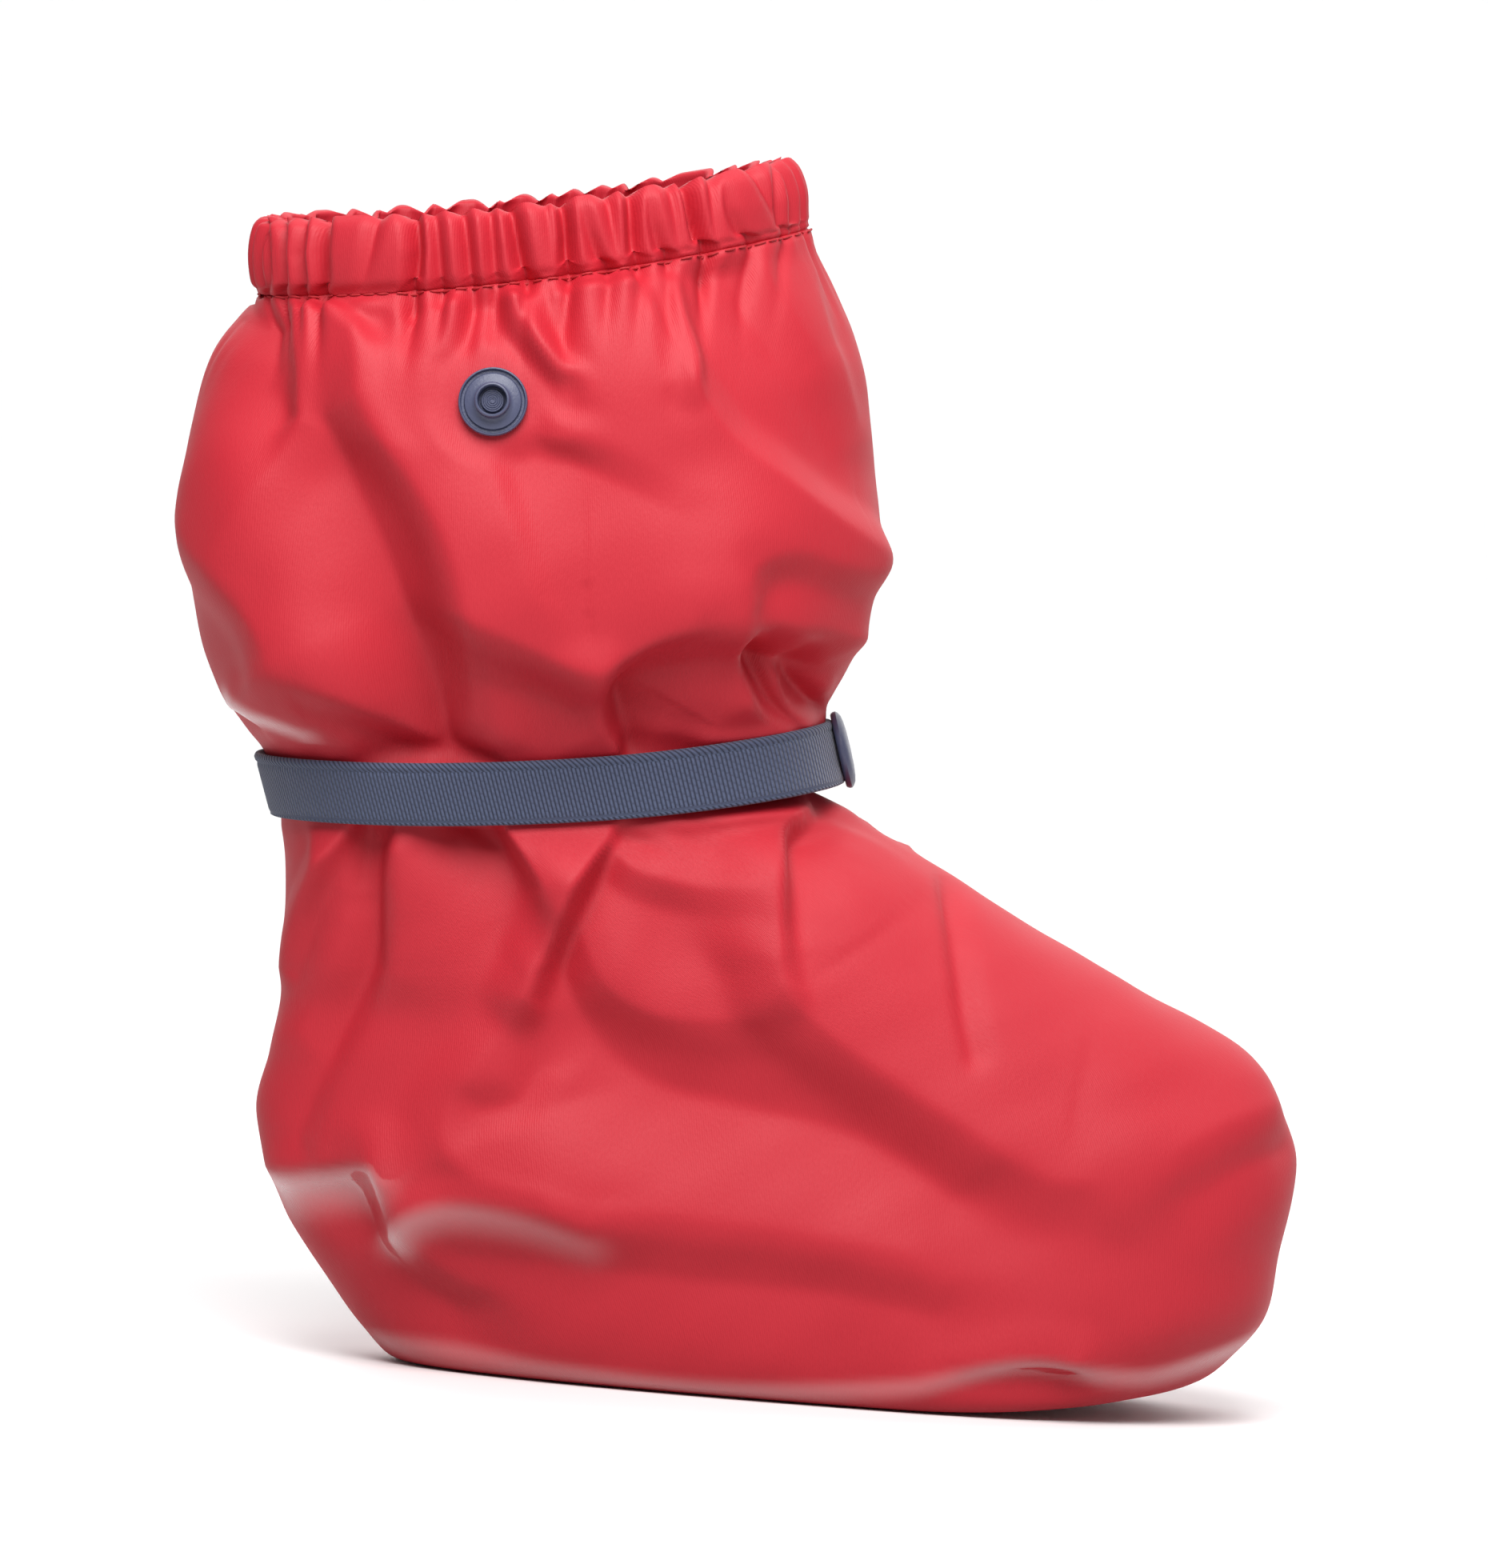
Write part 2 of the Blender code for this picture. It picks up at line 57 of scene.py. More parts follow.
CLOTH_WALL = 0.8
CLOTH_AROUND = 400
FOOT_ROWS = 118
SHAFT_ROWS = 114
TUCKED_ROWS = 4
FINE_TURN_STEPS = 720
FINE_LEVELS, FINE_AROUND = 400, 24
COATED_RED = (0.54, 0.013, 0.028)
COATED_RED_WORN = (0.51, 0.013, 0.028)
BACKING_RED = (0.50, 0.022, 0.032)

# back and front are shares of the foot's length from the heel, back_up and front_up of the height.
# heel and ball are half widths as shares of half the ball's width, and blunt squares the toe end.
# spring keeps a ring level until its front turns up, and sag lowers its middle, in millimetres.
Section = namedtuple("Section", "name back back_up front front_up heel ball blunt spring sag")

SECTIONS = [
    Section("sole_opening", 0.175, 0.002, 0.901, 0.029, 0.57, 0.77, 2.6, 1.0, 0.0),
    Section("turned_under", 0.145, 0.004, 0.928, 0.035, 0.69, 0.89, 2.6, 1.0, 0.0),
    Section("feather_edge", 0.117, 0.026, 0.952, 0.053, 0.76, 0.96, 2.6, 0.8, 0.0),
    Section("low_side", 0.076, 0.067, 0.981, 0.087, 0.82, 1.00, 2.6, 0.4, 0.0),
    Section("side", 0.034, 0.118, 0.990, 0.138, 0.85, 1.00, 2.5, 0.1, 0.0),
    Section("heel_bulge", 0.000, 0.192, 1.000, 0.212, 0.86, 0.94, 2.4, 0.0, 0.0),
    Section("toe_brow", 0.008, 0.246, 0.977, 0.261, 0.86, 0.88, 2.2, 0.0, 0.0),
    Section("toe_top", 0.016, 0.287, 0.943, 0.300, 0.85, 0.85, 2.0, 0.0, 0.0),
    Section("vamp", 0.015, 0.323, 0.831, 0.347, 0.85, 0.84, 2.0, 0.0, 0.0),
    Section("instep", 0.014, 0.364, 0.713, 0.397, 0.83, 0.83, 2.0, 0.0, 0.0),
    Section("throat", 0.010, 0.405, 0.599, 0.448, 0.81, 0.83, 2.0, 0.0, 0.6),
    Section("strap_low", 0.002, 0.439, 0.496, 0.484, 0.79, 0.81, 2.0, 0.0, 1.6),
    Section("strap_middle", -0.007, 0.464, 0.487, 0.509, 0.78, 0.80, 2.0, 0.0, 1.8),
    Section("strap_high", -0.018, 0.489, 0.478, 0.534, 0.80, 0.81, 2.0, 0.0, 1.6),
    Section("blouse_under", -0.067, 0.543, 0.532, 0.581, 0.99, 0.97, 2.1, 0.0, 1.0),
    Section("blouse_low", -0.092, 0.607, 0.546, 0.627, 1.10, 1.07, 2.1, 0.0, 0.6),
    Section("blouse_full", -0.103, 0.684, 0.558, 0.684, 1.15, 1.11, 2.1, 0.0, 0.0),
    Section("blouse_high", -0.105, 0.750, 0.549, 0.755, 1.13, 1.09, 2.1, 0.0, 0.0),
    Section("shoulder", -0.092, 0.806, 0.534, 0.827, 1.07, 1.04, 2.1, 0.0, 0.6),
    Section("gather", -0.068, 0.840, 0.505, 0.886, 0.98, 0.96, 2.1, 0.0, 1.4),
    Section("stitch_line", -0.048, 0.857, 0.469, 0.940, 0.90, 0.89, 2.1, 0.0, 2.0),
    Section("casing_low", -0.060, 0.869, 0.469, 0.953, 0.94, 0.92, 2.1, 0.0, 2.0),
    Section("casing_middle", -0.065, 0.891, 0.467, 0.973, 0.95, 0.93, 2.1, 0.0, 2.0),
    Section("casing_high", -0.062, 0.913, 0.458, 0.991, 0.93, 0.92, 2.1, 0.0, 2.0),
    Section("rim", -0.051, 0.923, 0.446, 1.000, 0.89, 0.87, 2.1, 0.0, 2.0),
]
LEVEL = {section.name: level for level, section in enumerate(SECTIONS)}


def smooth_step(share):
    share = np.clip(share, 0.0, 1.0)
    return share * share * (3.0 - 2.0 * share)


def curved(before, start, end, after, share):
    """Values on the smooth curve from start to end, with their neighbours' slopes."""
    square, cube = share**2, share**3
    return (
        start * (2 * cube - 3 * square + 1)
        + (end - before) / 2 * (cube - 2 * square + share)
        + end * (3 * square - 2 * cube)
        + (after - start) / 2 * (cube - square)
    )


def sections_at(levels):
    """The table's columns at levels between its rows."""
    table = np.array([section[1:] for section in SECTIONS])
    last = len(table) - 1
    levels = np.asarray(levels, float)
    low = np.clip(np.floor(levels).astype(int), 0, last - 1)
    rows = (table[np.clip(low + step, 0, last)] for step in (-1, 0, 1, 2))
    values = curved(*rows, (levels - low)[:, None])
    return Section("between", *(column[:, None] for column in values.T))


def rings_at(levels, count):
    """Rings of points in millimetres, evenly spaced from the front round by the left side."""
    section = sections_at(levels)
    turn = np.linspace(0.0, 2.0 * math.pi, FINE_TURN_STEPS + 1)
    cosine, sine = np.cos(turn), np.sin(turn)
    power = 2.0 / np.where(cosine > 0.0, section.blunt, HEEL_ROUNDNESS)
    share = (np.sign(cosine) * np.abs(cosine) ** power + 1.0) / 2.0
    x = (section.back + (section.front - section.back) * share - ORIGIN_ALONG) * FOOT_LENGTH
    half = section.heel + (section.ball - section.heel) * smooth_step(share)
    y = np.sign(sine) * np.abs(sine) ** power * half * BALL_WIDTH / 2.0
    spring_start = SPRING_START * section.spring
    climb = np.maximum(0.0, (share - spring_start) / (1.0 - spring_start)) ** (1.0 + section.spring)
    z = (section.back_up + (section.front_up - section.back_up) * climb) * BOOT_HEIGHT
    fine = np.stack([x, y, z - section.sag * 4.0 * share * (1.0 - share)], axis=-1)
    steps = np.linalg.norm(np.diff(fine, axis=1), axis=-1)
    rings = np.empty((len(fine), count, 3))
    for row, line in enumerate(fine):
        run = np.concatenate([[0.0], np.cumsum(steps[row])])
        places = run[-1] * np.arange(count) / count
        for axis in range(3):
            rings[row, :, axis] = np.interp(places, run, line[:, axis])
    return rings


def even_levels(first, last, rows):
    """Levels whose rings lie evenly spaced up the cloth."""
    fine = np.linspace(first, last, FINE_LEVELS)
    steps = np.linalg.norm(np.diff(rings_at(fine, FINE_AROUND), axis=0), axis=-1).mean(axis=1)
    run = np.concatenate([[0.0], np.cumsum(steps)])
    return np.interp(np.linspace(0.0, run[-1], rows + 1), run, fine)


def outward_of(points):
    """The outward direction at each point of a stack of rings."""
    sideways = np.roll(points, -1, axis=1) - np.roll(points, 1, axis=1)
    outward = np.cross(sideways, np.gradient(points, axis=0))
    return outward / np.linalg.norm(outward, axis=-1, keepdims=True)


# A fold is a soft ridge, or a trough where its height is negative, along a path of x, z places.
# above and below are its half widths: above a path that runs to the toe, or on the toe's side of
# one that runs down, and the other side. start and end are its strength at the path's two ends.
# One factor for each side of the shoe then scales its heights.
Fold = namedtuple("Fold", "height above below start end path")
STUD_SIDE_STRENGTH, PLAIN_SIDE_STRENGTH = 1.45, 1.8

# On the stud's side.
STUD_SIDE_FOLDS = [
    # Under the collar, from the heel to the toe.
    Fold(1.1, 1.6, 1.6, 1.0, 0.5, [(-78.5, 171), (-78.3, 164), (-78.5, 157)]),
    Fold(-1.8, 4.0, 8.0, 0.9, 0.6, [(-79, 168), (-79.5, 160), (-79, 152)]),
    Fold(3.4, 14.0, 3.0, 0.8, 0.5, [(-75, 170), (-75, 163), (-74.5, 156), (-74, 150)]),
    Fold(1.4, 3.5, 7.0, 0.9, 0.4, [(-66, 166), (-65, 160), (-64, 153), (-60, 147)]),
    Fold(-1.8, 2.2, 2.2, 1.0, 0.8, [(-70, 171), (-67, 167.5), (-64.5, 166)]),
    Fold(-1.5, 2.0, 2.0, 1.0, 0.2, [(-57, 171.5), (-57, 166)]),
    Fold(-1.0, 1.8, 1.8, 1.0, 0.2, [(-53, 172), (-53, 168)]),
    Fold(1.6, 2.5, 6.0, 1.0, 0.3, [(-50, 172), (-51, 166), (-53.5, 160)]),
    Fold(-1.6, 4.0, 2.5, 1.0, 0.4, [(-48, 172), (-48.5, 166), (-50, 161.5)]),
    Fold(-1.8, 2.5, 4.0, 0.9, 0.9, [(-45, 173), (-42.5, 166), (-38.5, 161), (-35, 158)]),
    Fold(2.0, 2.5, 3.0, 0.8, 0.8, [(-42.5, 174), (-40, 167.5), (-36, 162.5), (-33.5, 160)]),
    Fold(-2.2, 4.0, 3.0, 1.0, 0.3, [(-37, 174), (-34.5, 166), (-32.5, 161), (-31, 155.5)]),
    Fold(1.0, 4.0, 2.5, 0.8, 0.8, [(-38, 151.5), (-34.5, 149.5), (-31, 149.5)]),
    Fold(-2.0, 4.0, 13.0, 1.0, 0.2, [(-38, 150), (-34, 147.5), (-28, 145), (-22, 142.5), (-15, 139)]),
    Fold(0.9, 3.0, 10.0, 1.0, 0.5, [(-44.5, 148), (-41.5, 140), (-38, 131.5), (-35.5, 125)]),
    Fold(-1.5, 2.5, 2.5, 1.0, 0.8, [(-20.5, 174), (-17.5, 166), (-15.5, 159.5)]),
    Fold(1.9, 1.8, 4.0, 0.8, 1.0, [(-18, 178), (-16, 170), (-13.8, 163.5), (-13.8, 159.5)]),
    Fold(-2.0, 9.0, 9.0, 1.0, 0.3, [(-8, 178), (-4, 171), (1, 164), (6, 156), (10, 149)]),
    Fold(1.2, 4.0, 5.0, 1.0, 0.4, [(-3, 178), (2, 171), (7, 165)]),
    Fold(-1.0, 1.4, 1.4, 1.0, 0.8, [(7, 179), (10, 170.5), (13, 163.5), (15.5, 157)]),
    # The bloused shaft, from the heel to the toe.
    Fold(2.2, 6.0, 13.0, 0.5, 1.0, [(-74, 150), (-77, 142), (-80, 135), (-82.5, 127)]),
    Fold(4.0, 18.0, 6.5, 0.7, 0.9, [(-91, 135), (-86, 129), (-80, 122.5), (-75, 116.5), (-73, 113)]),
    Fold(3.2, 10.0, 3.6, 0.8, 0.8, [(-74, 110), (-70, 110), (-64, 108), (-58, 104), (-52, 100), (-48, 98)]),
    Fold(1.8, 5.0, 1.8, 1.0, 1.0, [(-80, 104), (-75, 102.5), (-70, 100.5), (-66, 97.5)]),
    Fold(1.6, 1.8, 6.0, 0.6, 1.0, [(-72, 108), (-71, 104), (-71, 100)]),
    Fold(-7.5, 9.0, 14.0, 0.5, 0.9, [(-71, 150), (-67, 142), (-62.5, 134), (-59, 127), (-56, 120),
                                      (-53, 113), (-50, 106), (-47.5, 99)]),
    Fold(1.8, 14.0, 6.0, 0.7, 1.0, [(-60, 147), (-53, 139), (-48, 131), (-45, 122),
                                    (-44.5, 114), (-43.5, 104)]),
    Fold(4.6, 22.0, 5.5, 0.5, 0.9, [(-46, 122), (-38, 119), (-30, 116), (-25, 115.5),
                                    (-21, 117.5), (-15, 121), (-10, 123.5), (-5.5, 124.5)]),
    Fold(-1.8, 6.0, 9.0, 0.8, 1.0, [(-42, 110), (-36, 108.5), (-28, 106.5)]),
    Fold(3.4, 2.4, 8.0, 0.6, 1.0, [(-24.5, 113.5), (-24, 109), (-22.5, 104), (-21, 99)]),
    Fold(-3.4, 14.0, 2.6, 0.5, 1.0, [(-11, 120.5), (-16, 117), (-20, 112), (-20.5, 106), (-19, 99)]),
    Fold(3.4, 2.4, 12.0, 0.8, 1.0, [(-5.5, 125), (-4.5, 119.5), (-2, 113.5), (0, 108), (1.2, 103)]),
    Fold(3.0, 14.0, 4.0, 1.0, 0.5, [(-5.5, 125), (-5.5, 129), (-3.5, 132.5), (0, 134.3),
                                    (4, 134.5), (9, 133), (14, 132), (18, 133)]),
    Fold(-2.4, 6.0, 2.4, 0.6, 1.0, [(-3.5, 130), (-3, 124), (-1, 117), (1.5, 111), (3, 103)]),
    Fold(2.0, 6.0, 4.0, 0.8, 0.8, [(0, 124), (5, 123.5), (10, 122.5), (14, 121)]),
    Fold(-2.6, 4.0, 7.0, 0.8, 0.8, [(1, 117), (6, 116.5), (11, 115.5)]),
    Fold(2.2, 2.4, 2.4, 0.6, 1.0, [(3.8, 117), (4.2, 112), (4.2, 104)]),
    Fold(-3.2, 3.2, 2.4, 0.5, 1.0, [(6.5, 114), (7.5, 110), (8.8, 105)]),
    Fold(1.5, 4.0, 3.0, 0.8, 1.0, [(12, 114), (11.5, 108)]),
    Fold(4.4, 5.0, 28.0, 0.9, 0.6, [(-26, 178), (-20, 168), (-14, 158.5), (-8, 151),
                                    (0, 145), (9, 138.5), (17, 133.5)]),
    # Below the strap, from the heel to the toe.
    Fold(3.0, 1.8, 3.2, 1.0, 0.4, [(-62.7, 89), (-65.3, 79), (-68, 71), (-70.2, 62)]),
    Fold(-1.6, 2.6, 1.6, 1.0, 0.3, [(-60.5, 88), (-60.2, 80), (-60, 75)]),
    Fold(1.3, 4.0, 5.0, 0.6, 0.8, [(-61, 74), (-63, 64), (-67, 52)]),
    Fold(-2.8, 4.0, 6.0, 0.8, 0.5, [(-58, 82), (-57.5, 70), (-58.5, 62), (-62, 53),
                                    (-65.5, 44), (-67.5, 36)]),
    Fold(2.4, 12.0, 2.2, 0.9, 0.3, [(-54, 88), (-54.8, 80), (-54.8, 72), (-54, 64)]),
    Fold(-1.1, 1.8, 1.8, 1.0, 0.2, [(-47, 89), (-46, 84)]),
    Fold(-2.2, 3.0, 10.0, 1.0, 0.3, [(-41, 88), (-37, 81.5), (-33.5, 76)]),
    Fold(3.6, 9.0, 2.4, 1.0, 0.5, [(-37.7, 90), (-34, 84.3), (-30.5, 80)]),
    Fold(5.0, 2.6, 7.0, 0.9, 0.5, [(-22, 91), (-24, 84), (-26.5, 77.5), (-29, 70), (-31.5, 62)]),
    Fold(-2.8, 8.0, 2.2, 0.9, 0.3, [(-20, 88), (-22.5, 80), (-24.5, 74), (-27.5, 66)]),
    Fold(3.0, 16.0, 7.0, 0.6, 0.7, [(-31, 64), (-34, 57), (-38.5, 50), (-42, 44), (-43, 38.5),
                                    (-41, 35), (-36, 32.5), (-27, 31)]),
    Fold(-1.3, 4.0, 4.0, 0.8, 0.8, [(-37, 43), (-32, 45), (-29.5, 50)]),
    Fold(2.0, 8.0, 4.0, 0.9, 0.6, [(-21, 87), (-17, 83), (-10, 81), (-3, 80.3), (2, 80)]),
    Fold(1.8, 12.0, 6.0, 0.8, 0.5, [(-25, 74), (-20, 65), (-12, 60.5), (-3, 60), (4, 61)]),
    Fold(-3.4, 9.0, 17.0, 0.7, 0.6, [(-28, 68), (-24, 59.5), (-17, 52.5), (-8, 48.5),
                                     (5, 46.5), (18, 44.5), (28, 40.5), (37, 35)]),
    Fold(4.0, 24.0, 8.0, 0.9, 0.4, [(6.5, 69), (8.5, 64.5), (13, 61), (20, 56), (28, 51),
                                    (36, 46.5), (44, 42), (52, 38.5), (57, 38.5)]),
    Fold(3.2, 2.2, 9.0, 1.0, 0.6, [(4.5, 96), (5, 88), (5.5, 80), (6.5, 72), (8, 66)]),
    Fold(-2.4, 9.0, 1.6, 1.0, 0.3, [(7, 94), (7.5, 84), (8, 77), (9, 71)]),
    Fold(-1.3, 3.6, 1.2, 1.0, 0.5, [(32.5, 84.5), (33.6, 78), (35, 70), (36.5, 62), (38, 57)]),
    # Low on the foot, from the heel to the toe.
    Fold(2.8, 8.0, 4.5, 0.5, 0.9, [(-72, 30), (-64, 31.5), (-58, 32.5), (-54, 32.5), (-52, 30.5)]),
    Fold(-2.8, 5.0, 8.0, 0.8, 0.7, [(-58, 27), (-55, 21.5), (-51.5, 16.5), (-47, 12.5), (-41, 9.5)]),
    Fold(1.5, 4.0, 10.0, 0.9, 0.6, [(-51, 21), (-48, 25), (-41, 28), (-30, 28), (-20, 26)]),
    Fold(1.2, 14.0, 6.0, 0.6, 0.6, [(-24, 29.5), (-10, 29), (10, 28), (30, 26)]),
    Fold(-1.7, 6.0, 13.0, 0.7, 0.6, [(-40, 19), (-20, 19), (0, 18.5), (20, 18), (35, 15.5)]),
    Fold(1.3, 9.0, 5.0, 0.6, 1.0, [(72, 44), (79, 48), (86, 50.5)]),
    Fold(-1.0, 4.0, 7.0, 0.4, 1.0, [(76, 37), (82, 41), (90, 44.5)]),
    Fold(1.6, 6.0, 2.5, 0.3, 0.8, [(36, 6), (45, 9), (53, 10.5), (58, 10)]),
    Fold(-1.4, 2.5, 5.0, 0.3, 0.8, [(41, 6), (50, 7), (56, 6.5)]),
]

# On the other side, the inner side of the leg.
PLAIN_SIDE_FOLDS = [
    Fold(-1.3, 3.0, 4.0, 1.0, 0.3, [(-72, 170), (-70, 162), (-66, 153)]),
    Fold(1.2, 5.0, 3.0, 0.9, 0.5, [(-66, 170), (-64, 160), (-60, 150)]),
    Fold(-1.5, 4.0, 3.0, 1.0, 0.3, [(-54, 171), (-52, 162), (-47, 152)]),
    Fold(-1.2, 3.0, 3.5, 1.0, 0.3, [(-38, 173), (-38, 165), (-40, 156)]),
    Fold(1.3, 4.0, 6.0, 0.9, 0.7, [(-30, 174), (-28, 163), (-22, 150), (-14, 140)]),
    Fold(-1.4, 4.0, 3.0, 1.0, 0.3, [(-18, 177), (-15, 168), (-10, 158)]),
    Fold(-1.1, 3.0, 3.0, 1.0, 0.4, [(-3, 181), (0, 173), (5, 164)]),
    Fold(-2.5, 9.0, 4.5, 0.7, 1.0, [(-18, 148), (-24, 136), (-28, 124), (-31, 112), (-32, 101)]),
    Fold(-2.2, 5.0, 8.0, 0.6, 1.0, [(-72, 136), (-66, 124), (-62, 112), (-60, 99)]),
    Fold(1.5, 6.0, 3.0, 0.8, 1.0, [(-56, 118), (-49, 115), (-42, 117), (-36, 122)]),
    Fold(-2.4, 7.0, 7.0, 0.8, 1.0, [(-47, 112), (-46, 106), (-46, 99)]),
    Fold(1.5, 3.0, 7.0, 0.8, 1.0, [(-14, 122), (-8, 124), (-2, 120), (1, 113), (2, 105)]),
    Fold(-2.2, 7.0, 7.0, 0.8, 1.0, [(-10, 116), (-8, 110), (-8, 102)]),
    Fold(1.5, 8.0, 4.0, 0.8, 0.9, [(-88, 130), (-82, 120), (-76, 112), (-70, 104)]),
    Fold(-1.3, 2.5, 2.5, 0.6, 1.0, [(-80, 108), (-78, 102), (-76, 97)]),
    Fold(2.4, 3.0, 5.0, 1.0, 0.4, [(-30, 88), (-27, 80), (-20, 70), (-14, 61), (-10, 52)]),
    Fold(-1.6, 5.0, 3.0, 0.9, 0.6, [(-26, 86), (-22, 78), (-15, 67), (-9, 57)]),
    Fold(1.7, 5.0, 2.5, 1.0, 0.5, [(-48, 87), (-52, 78), (-56, 68), (-58, 57)]),
    Fold(-1.5, 3.0, 5.0, 1.0, 0.5, [(-52, 86), (-57, 76), (-61, 66), (-63, 55)]),
    Fold(-1.2, 2.5, 2.5, 1.0, 0.3, [(-66, 86), (-67, 78), (-66, 68)]),
    Fold(-1.0, 2.0, 2.0, 1.0, 0.2, [(-38, 88), (-38, 80)]),
    Fold(-1.0, 2.0, 2.0, 1.0, 0.2, [(-12, 90), (-11, 83)]),
    Fold(1.6, 4.0, 2.0, 1.0, 0.5, [(4, 94), (6, 86), (10, 77), (13, 68)]),
    Fold(-1.8, 8.0, 8.0, 0.8, 0.8, [(-18, 62), (-6, 53), (8, 49), (24, 45), (40, 38)]),
    Fold(1.9, 8.0, 7.0, 0.7, 0.8, [(10, 66), (20, 59), (32, 52), (46, 45)]),
    Fold(0.9, 1.6, 4.5, 1.0, 0.4, [(26, 86), (29, 77), (33, 67), (38, 58)]),
    Fold(-1.2, 4.5, 5.0, 0.5, 1.0, [(76, 40), (83, 43), (89, 46)]),
    Fold(1.5, 8.0, 4.5, 0.8, 0.8, [(-66, 36), (-54, 33), (-42, 32), (-30, 29)]),
    Fold(-1.1, 8.0, 8.0, 0.6, 0.6, [(-24, 25), (0, 22), (26, 20)]),
]
# A crease has a rounded crest and flanks that end softly. Past its path's ends a narrow fold is
# stretched. Where the cloth faces front or back, one side's folds give way to the other's.
PATH_STEPS = 8
CREASE_RADIUS = 0.5
FLANK_END = 0.13
END_STRETCH = 2.5
FOLD_REACH = 1.8
SIDE_TURN, SIDE_OVERLAP = 0.55, 0.12


def smooth_path(path):
    """A path's places, with more between them on a smooth curve."""
    points = np.array(path, float)
    padded = np.vstack([points[:1], points, points[-1:]])
    shares = np.linspace(0.0, 1.0, PATH_STEPS, endpoint=False)[:, None]
    spans = [curved(*padded[place : place + 4], shares) for place in range(len(points) - 1)]
    return np.vstack(spans + [points[-1:]])


def creased(distance, width):
    """A crease's cross section: a rounded crest of 1, straight flanks, and a soft end a width away."""
    gone = (np.hypot(distance, CREASE_RADIUS) - CREASE_RADIUS) / width
    return FLANK_END * np.logaddexp(0.0, (1.0 - gone) / FLANK_END)


def fold_lift(fold, x, z):
    """How far one fold lifts the cloth at places x, z seen from the side."""
    line = smooth_path(fold.path)
    run = np.diff(line, axis=0)
    place_x, place_z = x[:, None] - line[:-1, 0], z[:, None] - line[:-1, 1]
    share = (place_x * run[:, 0] + place_z * run[:, 1]) / (run**2).sum(axis=1)
    share = np.clip(share, 0.0, 1.0)
    off_x, off_z = place_x - share * run[:, 0], place_z - share * run[:, 1]
    distance = np.hypot(off_x, off_z)
    nearest = distance.argmin(axis=1)[:, None]
    turned = (run[:, 0] * off_z - run[:, 1] * off_x) / np.maximum(distance, 1e-6) / np.hypot(*run.T)
    turned = np.take_along_axis(turned, nearest, 1)[:, 0]
    gone = (nearest + np.take_along_axis(share, nearest, 1))[:, 0] / len(run)
    width = fold.below + (fold.above - fold.below) * smooth_step(0.5 + 0.5 * turned)
    past_end = max((fold.above + fold.below) / 2.0, END_STRETCH * min(fold.above, fold.below))
    width = past_end + (width - past_end) * turned**2
    strength = fold.start + (fold.end - fold.start) * gone
    return fold.height * strength * creased(np.take_along_axis(distance, nearest, 1)[:, 0], width)


def folds_on(points, outward):
    """How far the folds of both sides lift the cloth."""
    lift = np.zeros(points.shape[:2])
    x, z = points[..., 0], points[..., 2]
    sides = (-1.0, STUD_SIDE_STRENGTH, STUD_SIDE_FOLDS), (1.0, PLAIN_SIDE_STRENGTH, PLAIN_SIDE_FOLDS)
    for side, strength, folds in sides:
        facing = smooth_step(SIDE_OVERLAP + side * outward[..., 1] / SIDE_TURN)
        for fold in folds:
            narrow, wide = sorted((fold.above, fold.below))
            reach = FOLD_REACH * max(wide, END_STRETCH * narrow)
            (first_x, first_z), (last_x, last_z) = np.min(fold.path, axis=0), np.max(fold.path, axis=0)
            near = (facing > 0.0) & (x > first_x - reach) & (x < last_x + reach)
            near &= (z > first_z - reach) & (z < last_z + reach)
            lift[near] += strength * facing[near] * fold_lift(fold, x[near], z[near])
    return lift


# Small pleats that the strap draws all round: how many in a turn, their height and their phase.
# They fade out away from the strap, and give way on the stud's side, which has folds of its own.
Pleats = namedtuple("Pleats", "number height phase")
STRAP_PLEATS = [Pleats(13, 0.30, 2.6), Pleats(19, 0.34, 0.3), Pleats(29, 0.24, 1.9), Pleats(37, 0.16, 4.0)]
PLEATS_FADE = 0.9
PLEATS_GIVE_WAY = 0.6


def strap_pleats(levels, outward):
    """How far the small pleats beside the strap lift the cloth."""
    turn = np.arange(outward.shape[1]) * 2.0 * math.pi / outward.shape[1]
    wave = sum(pleats.height * np.cos(pleats.number * turn + pleats.phase) for pleats in STRAP_PLEATS)
    from_strap = np.maximum(0.0, np.abs(levels - LEVEL["strap_middle"]) - 1.0)
    charted = smooth_step(0.5 - outward[..., 1] / SIDE_TURN)
    return wave * np.exp(-((from_strap / PLEATS_FADE) ** 2))[:, None] * (1.0 - PLEATS_GIVE_WAY * charted)


# How far from the strap's middle ridges and troughs stay flat, and over how far they rise, in levels.
RIDGES_FLAT_TO, TROUGHS_FLAT_TO = 0.85, 0.60
STRAP_FADE = 0.5


def strap_clearance(levels, flat_to):
    """0 under the strap, where the cloth lies flat as far as flat_to, and 1 clear of it."""
    return smooth_step((np.abs(levels - LEVEL["strap_middle"]) - flat_to) / STRAP_FADE)[:, None]


side_stud = next(mount for mount in frame["record"]["mounts"] if mount["name"] == "side_stud")
STUD_PLACE = np.array(side_stud["pos_m"]) / MM
STUD_FLAT, STUD_FADE = 6.4, 5.0


def stud_clearance(points):
    """0 under the side stud, where the cloth lies flat, and 1 clear of it."""
    distance = np.linalg.norm(points - STUD_PLACE, axis=-1)
    return smooth_step((distance - STUD_FLAT) / STUD_FADE)


def unevenness(points):
    """The slack cloth's own slight waves."""
    x, y, z = points[..., 0], points[..., 1], points[..., 2]
    slow = np.sin(0.21 * x + 0.13 * y + 0.9) * np.sin(0.17 * z - 0.11 * y + 0.4)
    quick = np.sin(0.39 * x - 0.22 * z + 2.1) * np.sin(0.33 * z + 0.19 * y + 1.2)
    return 0.16 * slow + 0.06 * quick


